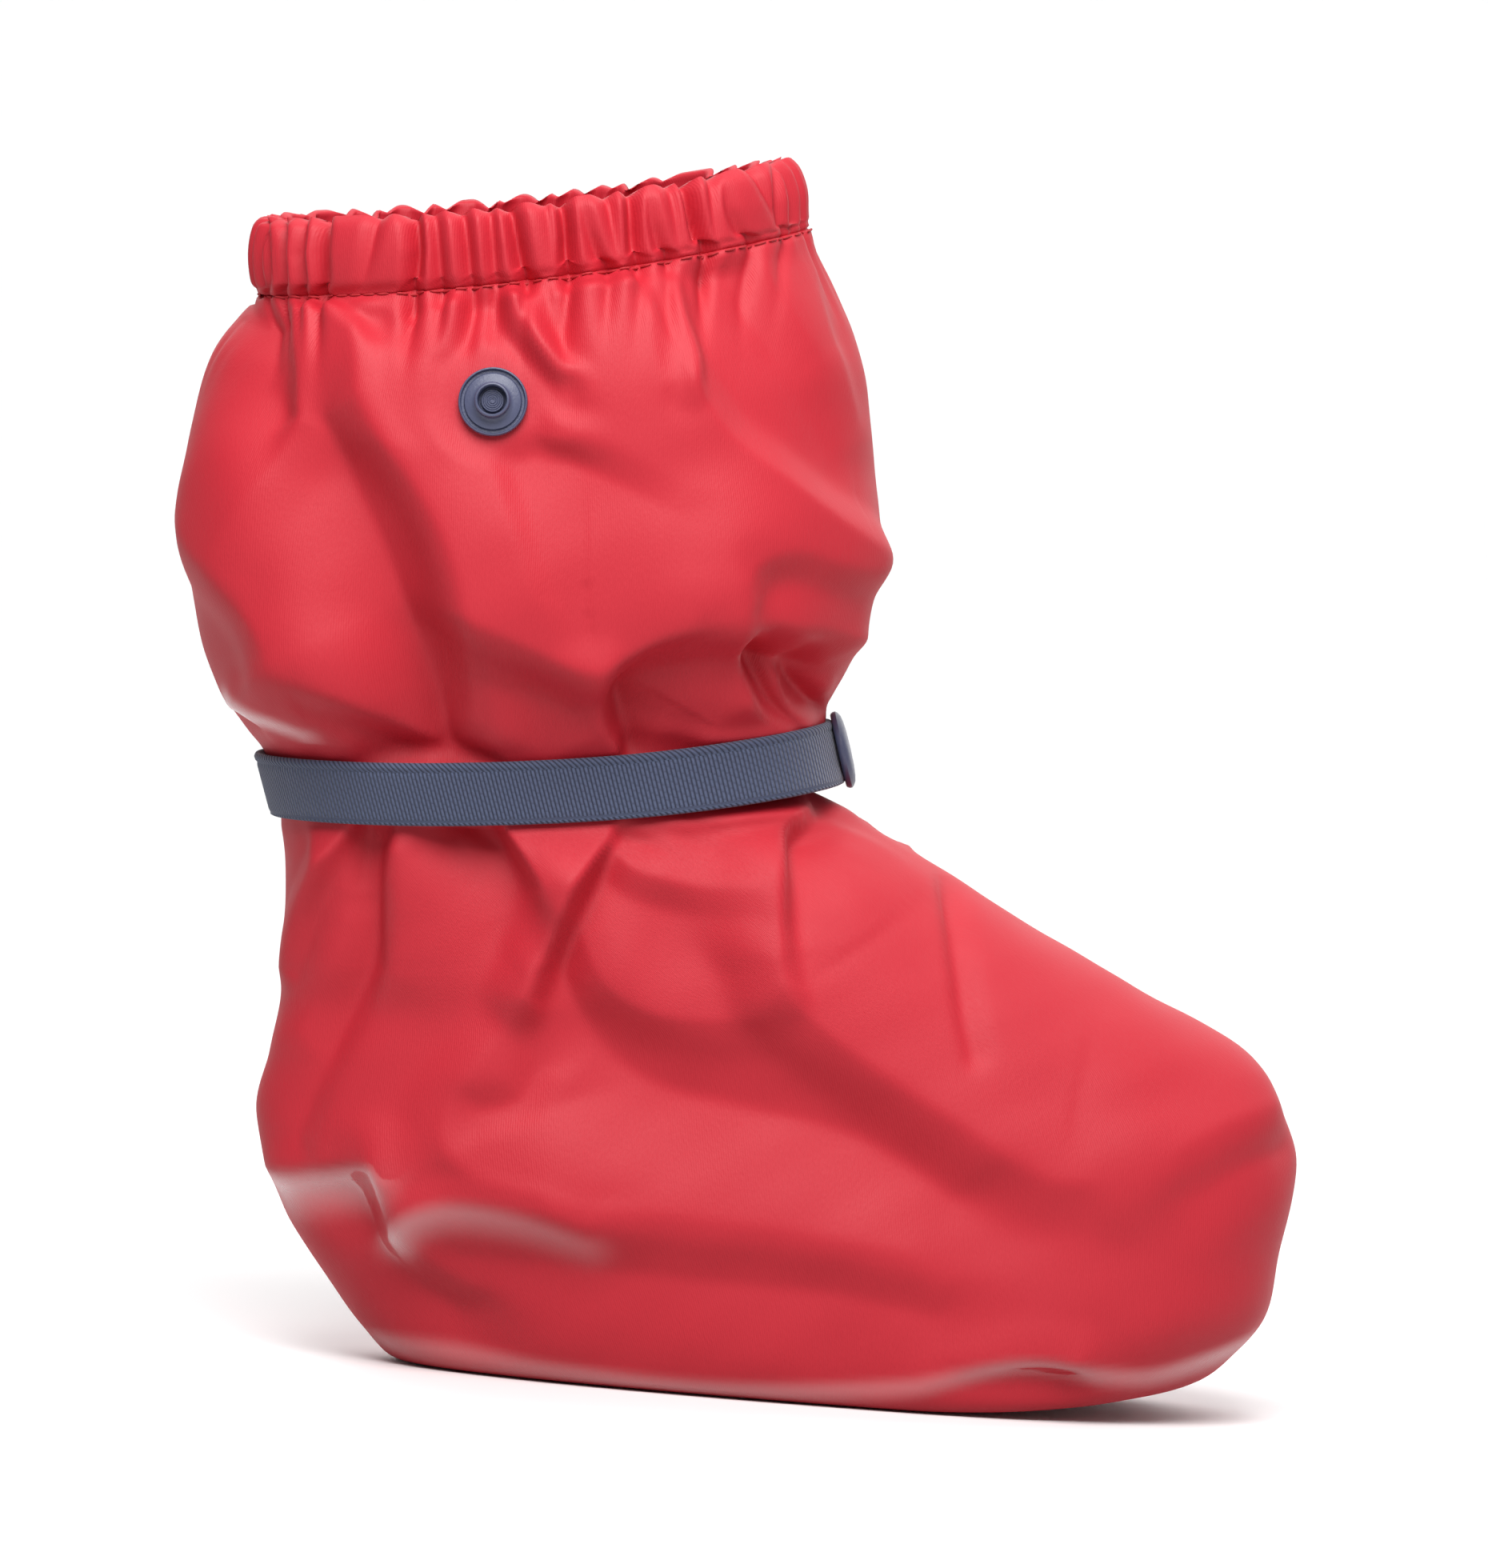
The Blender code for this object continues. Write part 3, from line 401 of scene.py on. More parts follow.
# The elastic's gathers on the stud's side: x at the stitch line, halfway up the casing and at the
# rim, and the furrow's depth at its two ends. The other side has the same turned about the middle.
Gather = namedtuple("Gather", "stitch middle rim low high")
STUD_SIDE_GATHERS = [
    Gather(-80.4, -81.5, -82.5, 0.9, 1.1),
    Gather(-77.9, -79.4, -79.6, 1.7, 1.7),
    Gather(-74.7, -76.5, -76.0, 1.7, 1.4),
    Gather(-71.7, -72.8, -72.7, 2.4, 2.5),
    Gather(-66.0, -64.8, -63.7, 0.0, 1.5),
    Gather(-57.5, -57.5, -58.7, 2.5, 2.6),
    Gather(-52.8, -54.1, -55.4, 1.8, 1.3),
    Gather(-48.1, -49.5, -51.1, 1.8, 1.9),
    Gather(-44.2, -45.5, -46.7, 1.5, 1.7),
    Gather(-39.6, -41.7, -43.7, 2.7, 2.4),
    Gather(-34.5, -36.3, -38.0, 0.0, 1.7),
    Gather(-33.0, -33.9, -35.5, 3.1, 3.0),
    Gather(-27.1, -30.4, -33.0, 2.0, 0.0),
    Gather(-24.5, -26.6, -28.5, 0.0, 2.2),
    Gather(-22.4, -23.4, -24.4, 2.4, 2.6),
    Gather(-17.7, -20.5, -22.5, 2.0, 0.0),
    Gather(-15.5, -16.8, -18.7, 0.0, 1.7),
    Gather(-11.5, -13.7, -16.0, 3.1, 3.0),
    Gather(-10.0, -10.9, -11.8, 0.0, 1.7),
    Gather(-4.8, -8.6, -11.0, 1.6, 0.0),
    Gather(1.0, -2.3, -6.2, 0.0, 1.7),
    Gather(0.0, -1.0, -2.0, 1.0, 1.0),
]
COLLAR_MIDDLE = -41.5
PLAIN_SIDE_GATHERS = [
    Gather(*(2.0 * COLLAR_MIDDLE - place for place in gather[:3]), gather.low, gather.high)
    for gather in STUD_SIDE_GATHERS
]
END_GATHERS = [(-17.0, 2.0), (-11.0, 1.2), (-6.0, 2.2), (-1.0, 1.3), (5.0, 2.3), (10.0, 1.4), (16.0, 2.0)]
GATHER_WIDTH = 3.0
GATHER_STRENGTH = 1.75
FURROW_RADIUS = 0.3
LEAST_SLANT = 0.3
END_FACES, END_FADE = 0.75, 0.2


def furrow_depth(distance):
    """A furrow's cross section: a sharp dip between rounded puffs."""
    return GATHER_STRENGTH * np.maximum(0.0, 1.0 - np.hypot(distance, FURROW_RADIUS) / GATHER_WIDTH) ** 2


def gather_depth(points, outward, height):
    """How deep the gathers cut at a height from 0, the stitch line, to 1, the rim."""
    depth = np.zeros(points.shape[:2])
    slant = np.maximum(np.abs(outward[..., 1]), LEAST_SLANT)
    for side, gathers in ((-1.0, STUD_SIDE_GATHERS), (1.0, PLAIN_SIDE_GATHERS)):
        facing = smooth_step(0.5 + side * outward[..., 1] / SIDE_TURN)
        for gather in gathers:
            line = np.interp(height, (0.0, 0.5, 1.0), gather[:3])
            strength = facing * (gather.low + (gather.high - gather.low) * height)
            depth = np.maximum(depth, strength * furrow_depth((points[..., 0] - line) / slant))
    facing = smooth_step((np.abs(outward[..., 0]) - END_FACES) / END_FADE)
    for place, end_depth in END_GATHERS:
        depth = np.maximum(depth, facing * end_depth * furrow_depth(points[..., 1] - place))
    return depth


# The strap lies on the cloth all round, but its ends stand off it in front, where the snap is.
STRAP_SEAT_GAP = 0.3
INNER_END_SEAT, OUTER_END_SEAT = 2.0, 7.0
STRAP_OVERLAP = 3 / 72
INNER_END_LANDS = 10 / 72
OUTER_END_LIFTS, OUTER_END_FLAT = 54 / 72, 69 / 72
STRAP_EDGE = 1.12
ROOM_AT_EDGE, ROOM_OPENS, ROOM_POWER = 0.1, 5.0, 1.3
SOFT_STOP = 0.45


def strap_seat_at(shares):
    """How far the strap lies off the cloth at shares of a turn from its inner end in front."""
    landed = smooth_step((shares - STRAP_OVERLAP) / (INNER_END_LANDS - STRAP_OVERLAP))
    lifted = smooth_step((shares - OUTER_END_LIFTS) / (OUTER_END_FLAT - OUTER_END_LIFTS))
    seat = INNER_END_SEAT + (STRAP_SEAT_GAP - INNER_END_SEAT) * landed
    return seat + (OUTER_END_SEAT - STRAP_SEAT_GAP) * lifted


def room_beside_strap(levels):
    """How far the folds can stand out beside a strap that lies on the cloth."""
    beyond_edge = np.maximum(0.0, np.abs(levels - LEVEL["strap_middle"]) - STRAP_EDGE)
    return ROOM_AT_EDGE + ROOM_OPENS * beyond_edge[:, None] ** ROOM_POWER


# Cloth that bunches up behind the strap's lifted end, over and under it: at which level, how far
# it spreads in levels, how far it stands out, and the shares of a turn where it starts and ends.
Bunch = namedtuple("Bunch", "level spread height start full fading end")
BUNCHES = [
    Bunch(13.10, 0.45, 6.0, 0.75, 0.94, 1.03, 1.10),
    Bunch(10.90, 0.40, 5.5, 0.75, 0.94, 0.99, 1.04),
    Bunch(10.50, 0.30, 2.6, 0.98, 1.02, 1.05, 1.10),
]


def bunched(levels, count):
    """How far the bunches lift the cloth."""
    lift = np.zeros((len(levels), count))
    share = (np.arange(count) / count + 0.5) % 1.0 + 0.5
    for bunch in BUNCHES:
        near = smooth_step((share - bunch.start) / (bunch.full - bunch.start))
        near *= smooth_step((bunch.end - share) / (bunch.end - bunch.fading))
        lift += bunch.height * near * np.exp(-(((levels - bunch.level) / bunch.spread) ** 2))[:, None]
    return lift


# Below the casing's seam the gathers fade and the folds start, and its edge is a little full. Above
# it the cloth's end is tucked in behind the casing. Near the floor the folds die away.
TUCKED_IN = LEVEL["stitch_line"] + 0.35
TUCK_IN_MM = 7.0
FOLD_LIMIT = 9.0
GATHERS_FADE_MM = 9.0
FOLDS_START_MM = 3.5
SEAM_FURROW = 0.7
SEAM_FILL, SEAM_FILL_REACH_MM = 0.6, 2.5
FLOOR_FADE_MM, FOLDS_AT_FLOOR = 6.0, 0.1
levels = np.concatenate(
    [
        even_levels(0.0, LEVEL["strap_middle"], FOOT_ROWS),
        even_levels(LEVEL["strap_middle"], LEVEL["stitch_line"], SHAFT_ROWS)[1:],
        np.linspace(LEVEL["stitch_line"], TUCKED_IN, TUCKED_ROWS + 1)[1:],
    ]
)
plain = rings_at(levels, CLOTH_AROUND)
plain_outward = outward_of(plain)
stitch_ring = rings_at([LEVEL["stitch_line"]], CLOTH_AROUND)[0]
below_stitch = np.linalg.norm(plain - stitch_ring, axis=-1) * (levels < LEVEL["stitch_line"])[:, None]
gather_fade = SEAM_FURROW * np.exp(-((below_stitch / GATHERS_FADE_MM) ** 2))
lift = FOLD_LIMIT * np.tanh(folds_on(plain, plain_outward) / FOLD_LIMIT)
lift += strap_pleats(levels, plain_outward) + unevenness(plain)
ridges_clear = strap_clearance(levels, RIDGES_FLAT_TO)
troughs_clear = strap_clearance(levels, TROUGHS_FLAT_TO)
lift *= np.where(lift > 0.0, ridges_clear, troughs_clear)
lift *= stud_clearance(plain)
lift *= smooth_step(below_stitch / FOLDS_START_MM)
lift *= smooth_step(plain[..., 2] / FLOOR_FADE_MM + FOLDS_AT_FLOOR)
lift -= gather_fade * gather_depth(plain, plain_outward, np.zeros((1, 1)))
above_stitch = np.maximum(0.0, levels - LEVEL["stitch_line"])[:, None]
lift += SEAM_FILL * np.exp(-((below_stitch / SEAM_FILL_REACH_MM) ** 2)) - TUCK_IN_MM * above_stitch
room = room_beside_strap(levels)
lift = -SOFT_STOP * np.logaddexp(-lift / SOFT_STOP, -room / SOFT_STOP)
cloth = plain + plain_outward * lift[..., None]
level_outward = plain_outward * (1.0, 1.0, 0.0)
level_outward /= np.maximum(np.linalg.norm(level_outward, axis=-1, keepdims=True), 0.3)
room = room + strap_seat_at(np.arange(CLOTH_AROUND) / CLOTH_AROUND) - STRAP_SEAT_GAP
bunch_lift = np.minimum(bunched(levels, CLOTH_AROUND), room - np.maximum(lift, 0.0))
cloth += level_outward * bunch_lift[..., None]


# Where the coating is rubbed smooth it shines: bands like folds, with a strength for their height.
SHINY_ROUGHNESS = 0.2
SHINE_TURN = 0.5
SHINE_BANDS = [
    Fold(1.0, 2.5, 6.0, 1.0, 0.8, [(-78, 27), (-70, 27), (-62, 28.5), (-55, 30)]),
    Fold(1.0, 2.0, 4.0, 0.9, 0.3, [(-50, 21), (-47, 24.5), (-41, 26.5), (-31, 26), (-20, 23)]),
    Fold(0.8, 1.5, 1.5, 1.0, 0.6, [(-80, 104), (-75, 102.5), (-70, 100.5)]),
    Fold(0.9, 1.5, 2.0, 0.6, 0.7, [(-60, 4), (-30, 2.5), (0, 1.5), (30, 4), (50, 9), (70, 8), (88, 14)]),
]


def shine_on(points, outward):
    """How far the coating is rubbed smooth, from 0 to 1, on the stud's side."""
    shine = np.zeros(points.shape[:2])
    for band in SHINE_BANDS:
        rubbed = fold_lift(band, points[..., 0].ravel(), points[..., 2].ravel()).reshape(shine.shape)
        shine = np.maximum(shine, rubbed * smooth_step(-outward[..., 1] / SHINE_TURN))
    return np.clip(shine, 0.0, 1.0)


shine = shine_on(plain, plain_outward)


def new_material(name, **kinds):
    """A material and its nodes by name: those asked for, and its surface as shader."""
    material = bpy.data.materials.new(name)
    material.use_nodes = True
    tree = material.node_tree
    nodes = {key: tree.nodes.new(kind) for key, kind in kinds.items()}
    nodes["shader"] = tree.nodes["Principled BSDF"]
    return material, nodes


def set_inputs(node, **values):
    """Sets a node's inputs, with _ for a space in an input's name."""
    for name, value in values.items():
        node.inputs[name.replace("_", " ")].default_value = value


def connect(nodes, *routes):
    """Links nodes: each route is a node and its output, then a node and its input."""
    links = nodes["shader"].id_data.links
    for start, output, end, socket in routes:
        links.new(nodes[start].outputs[output], nodes[end].inputs[socket])


ROUGHNESS_SPREAD = 0.06
WALES_SHARE = 0.30


def coated_cloth(name, fresh, worn, roughness, bump):
    """The coated knit: faint wales and grain under the coating, and gloss where it is rubbed."""
    material, nodes = new_material(
        name,
        place="ShaderNodeTexCoord",
        stretch="ShaderNodeMapping",
        wales="ShaderNodeTexWave",
        grain="ShaderNodeTexNoise",
        blotches="ShaderNodeTexNoise",
        colour="ShaderNodeMix",
        gloss="ShaderNodeMapRange",
        relief="ShaderNodeMath",
        bumps="ShaderNodeBump",
        shine="ShaderNodeAttribute",
        shiny_gloss="ShaderNodeMix",
    )
    nodes["colour"].data_type = "RGBA"
    nodes["relief"].operation = "MULTIPLY_ADD"
    nodes["relief"].inputs[1].default_value = WALES_SHARE
    nodes["shine"].attribute_name = "shine"
    set_inputs(nodes["stretch"], Scale=(2.8, 1.1, 1.0))
    set_inputs(nodes["wales"], Scale=0.95, Distortion=0.6)
    set_inputs(nodes["grain"], Scale=1.0, Detail=3.0)
    set_inputs(nodes["blotches"], Scale=0.07, Detail=4.0)
    set_inputs(nodes["colour"], A=(*fresh, 1.0), B=(*worn, 1.0))
    set_inputs(nodes["gloss"], To_Min=roughness - ROUGHNESS_SPREAD, To_Max=roughness + ROUGHNESS_SPREAD)
    set_inputs(nodes["shiny_gloss"], B=SHINY_ROUGHNESS)
    set_inputs(nodes["bumps"], Strength=bump, Distance=0.00006)
    set_inputs(nodes["shader"], Coat_Roughness=0.10, Coat_IOR=2.4, IOR=1.47)
    connect(
        nodes,
        ("place", "UV", "stretch", "Vector"),
        ("place", "UV", "wales", "Vector"),
        ("place", "UV", "blotches", "Vector"),
        ("stretch", "Vector", "grain", "Vector"),
        ("blotches", "Fac", "colour", "Factor"),
        ("blotches", "Fac", "gloss", "Value"),
        ("wales", "Fac", "relief", 0),
        ("grain", "Fac", "relief", 2),
        ("relief", "Value", "bumps", "Height"),
        ("shine", "Fac", "shiny_gloss", "Factor"),
        ("gloss", "Result", "shiny_gloss", "A"),
        ("colour", "Result", "shader", "Base Color"),
        ("shiny_gloss", "Result", "shader", "Roughness"),
        ("shine", "Fac", "shader", "Coat Weight"),
        ("bumps", "Normal", "shader", "Normal"),
    )
    return material


SHARP_ABOVE = 60.0
NO_SHARP_EDGES = 180.0


def as_piece(name, shape, sharp=SHARP_ABOVE):
    """An object of a finished shape, smooth but for edges sharper than an angle in degrees."""
    mesh = bpy.data.meshes.new(name)
    shape.to_mesh(mesh)
    shape.free()
    mesh.shade_smooth()
    mesh.set_sharp_from_angle(angle=math.radians(sharp))
    piece = bpy.data.objects.new(name, mesh)
    bpy.context.scene.collection.objects.link(piece)
    return piece


def rolled_grid(name, points, size, closed_across=False, shine=None, sharp=SHARP_ABOVE):
    """A piece made of a grid rolled into a ring, with its UV map in millimetres."""
    shape = bmesh.new()
    shine_layer = shape.verts.layers.float.new("shine")
    cloth_uv = shape.loops.layers.uv.new("cloth")
    rows = points.shape[0] - (0 if closed_across else 1)
    columns = points.shape[1]
    bmesh.ops.create_grid(shape, x_segments=columns, y_segments=rows, size=0.5, calc_uvs=True)
    for face in shape.faces:
        for loop in face.loops:
            loop[cloth_uv].uv = (loop[cloth_uv].uv.x * size[0], loop[cloth_uv].uv.y * size[1])
    for vert in shape.verts:
        column = round((vert.co.x + 0.5) * columns) % columns
        row = round((vert.co.y + 0.5) * rows) % points.shape[0]
        vert.co = points[row, column] * MM
        vert[shine_layer] = 0.0 if shine is None else shine[row, column]
    bmesh.ops.remove_doubles(shape, verts=shape.verts, dist=1e-7)
    return as_piece(name, shape, sharp)


red_coating = coated_cloth("coated_red_cloth", COATED_RED, COATED_RED_WORN, 0.60, 0.9)
red_backing = coated_cloth("red_cloth_backing", BACKING_RED, BACKING_RED, 0.75, 1.0)
for name, rows in (("foot_cloth", slice(0, FOOT_ROWS + 1)), ("shaft_cloth", slice(FOOT_ROWS, None))):
    part = cloth[rows]
    around = np.linalg.norm(np.roll(part, -1, axis=1) - part, axis=-1).sum(axis=1).mean()
    tall = np.linalg.norm(np.diff(part, axis=0), axis=-1).sum(axis=0).mean()
    piece = rolled_grid(name, part, (around, tall), shine=shine[rows], sharp=NO_SHARP_EDGES)
    piece.data.materials.append(red_coating)
    piece.data.materials.append(red_backing)
    wall = piece.modifiers.new("wall", "SOLIDIFY")
    wall.thickness = CLOTH_WALL * MM
    wall.offset = -1.0
    wall.material_offset = 1
    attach(piece, "root")
    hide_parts("upper")


# Collar casing: the cloth's upper edge, folded to the inside over an elastic and sewn down.
# The elastic pulls it into puffy upright gathers with a scalloped rim.
CASING_AROUND = 600
CASING_FACE_ROWS, CASING_LINING_ROWS = 30, 18
CASING_THICKNESS = 3.4
CASING_HEM = 1.2
RIM_DIP = 0.45
FURROW_AT_RIM, FURROW_INSIDE = 0.9, 0.8
SEAM_TURN, SEAM_FILL_REACH = 0.3, 0.2
CASING_CLOTH = (230.0, 28.0)
face_levels = np.linspace(LEVEL["stitch_line"], LEVEL["rim"], CASING_FACE_ROWS)
lining_levels = np.linspace(LEVEL["rim"], LEVEL["stitch_line"], CASING_LINING_ROWS)[1:]
casing_levels = np.concatenate([face_levels, lining_levels])
casing = rings_at(casing_levels, CASING_AROUND)
casing_stack = rings_at([LEVEL["casing_low"], LEVEL["casing_middle"], LEVEL["casing_high"]], CASING_AROUND)
casing_up = casing_stack[2] - casing_stack[0]
casing_up /= np.linalg.norm(casing_up, axis=-1, keepdims=True)
casing_height = (casing_levels - LEVEL["stitch_line"]) / (LEVEL["rim"] - LEVEL["stitch_line"])
casing_height = np.clip(casing_height, 0.0, 1.0)[:, None]
is_lining = (np.arange(len(casing_levels)) >= CASING_FACE_ROWS)[:, None]
above_seam = np.maximum(smooth_step(casing_height / SEAM_TURN), is_lining)[..., None]
casing_outward = outward_of(casing_stack)[1] * above_seam + outward_of(casing) * (1.0 - above_seam)
furrow = gather_depth(casing, casing_outward, casing_height)
furrow_share = np.interp(casing_height, (0.0, 0.4, 1.0), (SEAM_FURROW, 1.0, FURROW_AT_RIM))
casing_off = -furrow * furrow_share * np.where(is_lining, FURROW_INSIDE, 1.0)
casing_off -= np.where(is_lining, CASING_THICKNESS * np.sqrt(1.0 - casing_height**4), 0.0)
seam_fill = SEAM_FILL * np.exp(-((casing_height / SEAM_FILL_REACH) ** 2))
seam_fill = seam_fill - CASING_HEM * (casing_height == 0.0)
casing_off += np.where(is_lining, 0.0, seam_fill)
casing_rise = -RIM_DIP * furrow * casing_height**6
casing = casing + casing_outward * casing_off[..., None] + casing_up * casing_rise[..., None]
casing_piece = rolled_grid("collar_casing", casing, CASING_CLOTH, closed_across=True, sharp=NO_SHARP_EDGES)
casing_piece.data.materials.append(red_coating)
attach(casing_piece, "root")
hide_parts("upper")


# Sole panel: the bag's bottom, cut from the same coated cloth, flat and with no tread.
# It is sewn into the opening under the upper, and the shoe stands on it.
SOLE_WALL = 1.2
SOLE_GAP = 0.3
SOLE_ROWS = 12
SOLE_HALF_WIDTH, SOLE_HALF_LENGTH = 22.0, 60.0
SOLE_CLOTH = (330.0, 30.0)
sole_red = coated_cloth("sole_red_cloth", COATED_RED, COATED_RED_WORN, 0.55, 0.8)
opening = rings_at([0.0], CLOTH_AROUND)[0]
opening[:, 2] -= opening[:, 2].min()
middle_line = opening * (1.0, 0.0, 1.0)
shares = np.linspace(0.0, 1.0 - SOLE_GAP / SOLE_HALF_WIDTH, SOLE_ROWS)[:, None, None]
sole_points = middle_line + (opening - middle_line) * shares
sole_points[:, :, 0] *= 1.0 - SOLE_GAP / SOLE_HALF_LENGTH
sole = rolled_grid("sole_cloth", sole_points, SOLE_CLOTH)
sole.data.materials.append(sole_red)
wall = sole.modifiers.new("wall", "SOLIDIFY")
wall.thickness = SOLE_WALL * MM
wall.offset = -1.0
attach(sole, "root")
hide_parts("sole_panel")


# Casing seam: one row of red thread along the casing's lower edge, which holds the fold down.
# It is sewn by machine, and its stitches lie in the valley that the seam pulls into the cloth.
STITCH_PITCH = 2.6
STITCH_LENGTH = 2.1
THREAD_RADIUS = 0.21
THREAD_RED = (0.42, 0.012, 0.020)
seam_row = FOOT_ROWS + SHAFT_ROWS
seam = cloth[seam_row]
seam_outward = outward_of(cloth)[seam_row]
seam_run = np.concatenate([[0.0], np.cumsum(np.linalg.norm(np.roll(seam, -1, axis=0) - seam, axis=-1))])
stitch_count = round(seam_run[-1] / STITCH_PITCH)
stitches_shape = bmesh.new()
for place in range(stitch_count):
    column = np.interp(seam_run[-1] * (place + 0.5) / stitch_count, seam_run, np.arange(CLOTH_AROUND + 1))
    near = int(round(column)) % CLOTH_AROUND
    along = Vector(seam[(near + 2) % CLOTH_AROUND] - seam[near - 2]).normalized()
    out = Vector(seam_outward[near])
    out = (out - along * out.dot(along)).normalized()
    turn = Matrix((along, out.cross(along), out)).transposed()
    spot = Vector(seam[near]) + out * THREAD_RADIUS * 0.5
    half_size = Matrix.Diagonal((STITCH_LENGTH / 2.0, THREAD_RADIUS, THREAD_RADIUS, 1.0))
    placing = Matrix.Scale(MM, 4) @ Matrix.Translation(spot) @ turn.to_4x4() @ half_size
    bmesh.ops.create_uvsphere(stitches_shape, u_segments=8, v_segments=6, radius=1.0,
                              matrix=placing @ Matrix.Rotation(math.pi / 2, 4, "Y"))
stitches = as_piece("casing_stitches", stitches_shape)
thread, thread_nodes = new_material(
    "red_thread", place="ShaderNodeTexCoord", plies="ShaderNodeTexWave", bumps="ShaderNodeBump"
)
thread_nodes["plies"].bands_direction = "DIAGONAL"
set_inputs(thread_nodes["plies"], Scale=600.0)
set_inputs(thread_nodes["bumps"], Strength=0.6, Distance=0.00008)
set_inputs(thread_nodes["shader"], Base_Color=(*THREAD_RED, 1.0), Roughness=0.7)
connect(
    thread_nodes,
    ("place", "Object", "plies", "Vector"),
    ("plies", "Fac", "bumps", "Height"),
    ("bumps", "Normal", "shader", "Normal"),
)
stitches.data.materials.append(thread)
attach(stitches, "root")


# Ankle strap: flat navy elastic, once round the ankle, its outer end over its inner end in front.
# It is woven in upright ribs of short floats, with a slanted selvage on top and a plain lower edge.
STRAP_STATIONS = 420
STRAP_HALF_WALL = 0.55
STRAP_FACE_STEPS, STRAP_BACK_STEPS, STRAP_EDGE_STEPS = 30, 10, 5
SELVAGE, SELVAGE_GROOVE, PLAIN_EDGE = 1.5, 0.3, 0.65
SELVAGE_RISE, GROOVE_DEPTH, PLAIN_EDGE_DROP, EDGE_FADE = 0.10, 0.16, 0.14, 0.4
RIB_PITCH, FLOAT_LENGTH, RIB_STAGGER = 0.62, 1.25, 0.37
OVERCAST_PITCH, OVERCAST_SLANT = 0.85, 0.8
# The elastic's colour holds painted light: dark navy is painted shade in the weave's hollows, and lighter
# navy is a painted highlight on its crests.
STRAP_HOLLOW_SHADE = (0.008, 0.011, 0.030)
STRAP_CREST_HIGHLIGHT = (0.085, 0.108, 0.190)


def ring_between(ring, shares):
    """Points of a ring at shares of a turn from the front, past a whole turn too."""
    places = np.asarray(shares) * len(ring)
    low = np.floor(places).astype(int)
    part = (places - low)[:, None]
    return ring[low % len(ring)] * (1.0 - part) + ring[(low + 1) % len(ring)] * part


strap_rings = rings_at([LEVEL["strap_low"], LEVEL["strap_high"]], FINE_TURN_STEPS)
strap_shares = np.linspace(-STRAP_OVERLAP, 1.0 + STRAP_OVERLAP, STRAP_STATIONS)
strap_low, strap_high = (ring_between(ring, strap_shares) for ring in strap_rings)
strap_across = strap_high - strap_low
strap_width = np.linalg.norm(strap_across, axis=-1, keepdims=True)
strap_outward = np.cross(np.gradient(strap_low, axis=0), strap_across)
strap_outward /= np.linalg.norm(strap_outward, axis=-1, keepdims=True)
strap_seat = strap_seat_at(strap_shares)[:, None]
strap_mean_width = strap_width.mean()
face_up = np.linspace(STRAP_HALF_WALL, strap_mean_width - STRAP_HALF_WALL, STRAP_FACE_STEPS + 1)
from_top = strap_mean_width - face_up
face_out = np.full_like(face_up, STRAP_HALF_WALL)
face_out += SELVAGE_RISE * smooth_step((SELVAGE - from_top) / EDGE_FADE)
face_out -= GROOVE_DEPTH * np.exp(-(((from_top - SELVAGE) / SELVAGE_GROOVE) ** 2))
face_out -= PLAIN_EDGE_DROP * smooth_step((PLAIN_EDGE + EDGE_FADE - face_up) / EDGE_FADE)
edge_turn = np.linspace(0.0, math.pi, STRAP_EDGE_STEPS + 2)[1:-1]
top_up = strap_mean_width - STRAP_HALF_WALL + STRAP_HALF_WALL * np.sin(edge_turn)
back_up = np.linspace(strap_mean_width - STRAP_HALF_WALL, STRAP_HALF_WALL, STRAP_BACK_STEPS + 1)
low_up = STRAP_HALF_WALL - STRAP_HALF_WALL * np.sin(edge_turn)
profile_up = np.concatenate([face_up, top_up, back_up, low_up]) / strap_mean_width
profile_out = np.concatenate(
    [
        face_out,
        STRAP_HALF_WALL * np.cos(edge_turn),
        np.full_like(back_up, -STRAP_HALF_WALL),
        -STRAP_HALF_WALL * np.cos(edge_turn),
    ]
)
strap_points = (
    strap_low[:, None, :]
    + strap_across[:, None, :] * profile_up[None, :, None]
    + strap_outward[:, None, :] * (strap_seat + STRAP_HALF_WALL + profile_out[None, :])[..., None]
)
strap_length = np.linalg.norm(np.diff(strap_low, axis=0), axis=-1).sum()
face_step = (strap_mean_width - 2.0 * STRAP_HALF_WALL) / STRAP_FACE_STEPS
strap = rolled_grid("elastic_strap", strap_points, (face_step * len(profile_up), strap_length))
strap_shape = bmesh.new()
strap_shape.from_mesh(strap.data)
bmesh.ops.holes_fill(strap_shape, edges=strap_shape.edges, sides=0)
bmesh.ops.recalc_face_normals(strap_shape, faces=strap_shape.faces)
strap_shape.to_mesh(strap.data)
strap_shape.free()
strap.data.shade_smooth()


def calc(operation, *values):
    """A Math node's result, worked out from numbers and other nodes' results."""
    tree = next(value.id_data for value in values if isinstance(value, bpy.types.NodeSocket))
    math_node = tree.nodes.new("ShaderNodeMath")
    math_node.operation = operation
    for socket, value in zip(math_node.inputs, values):
        if isinstance(value, bpy.types.NodeSocket):
            tree.links.new(value, socket)
        else:
            socket.default_value = value
    return math_node.outputs["Value"]


def bow(number):
    """Rises from 0 to 1 and falls again within each whole number, as a yarn's back does."""
    return calc("SINE", calc("MULTIPLY", calc("FRACT", number), math.pi))


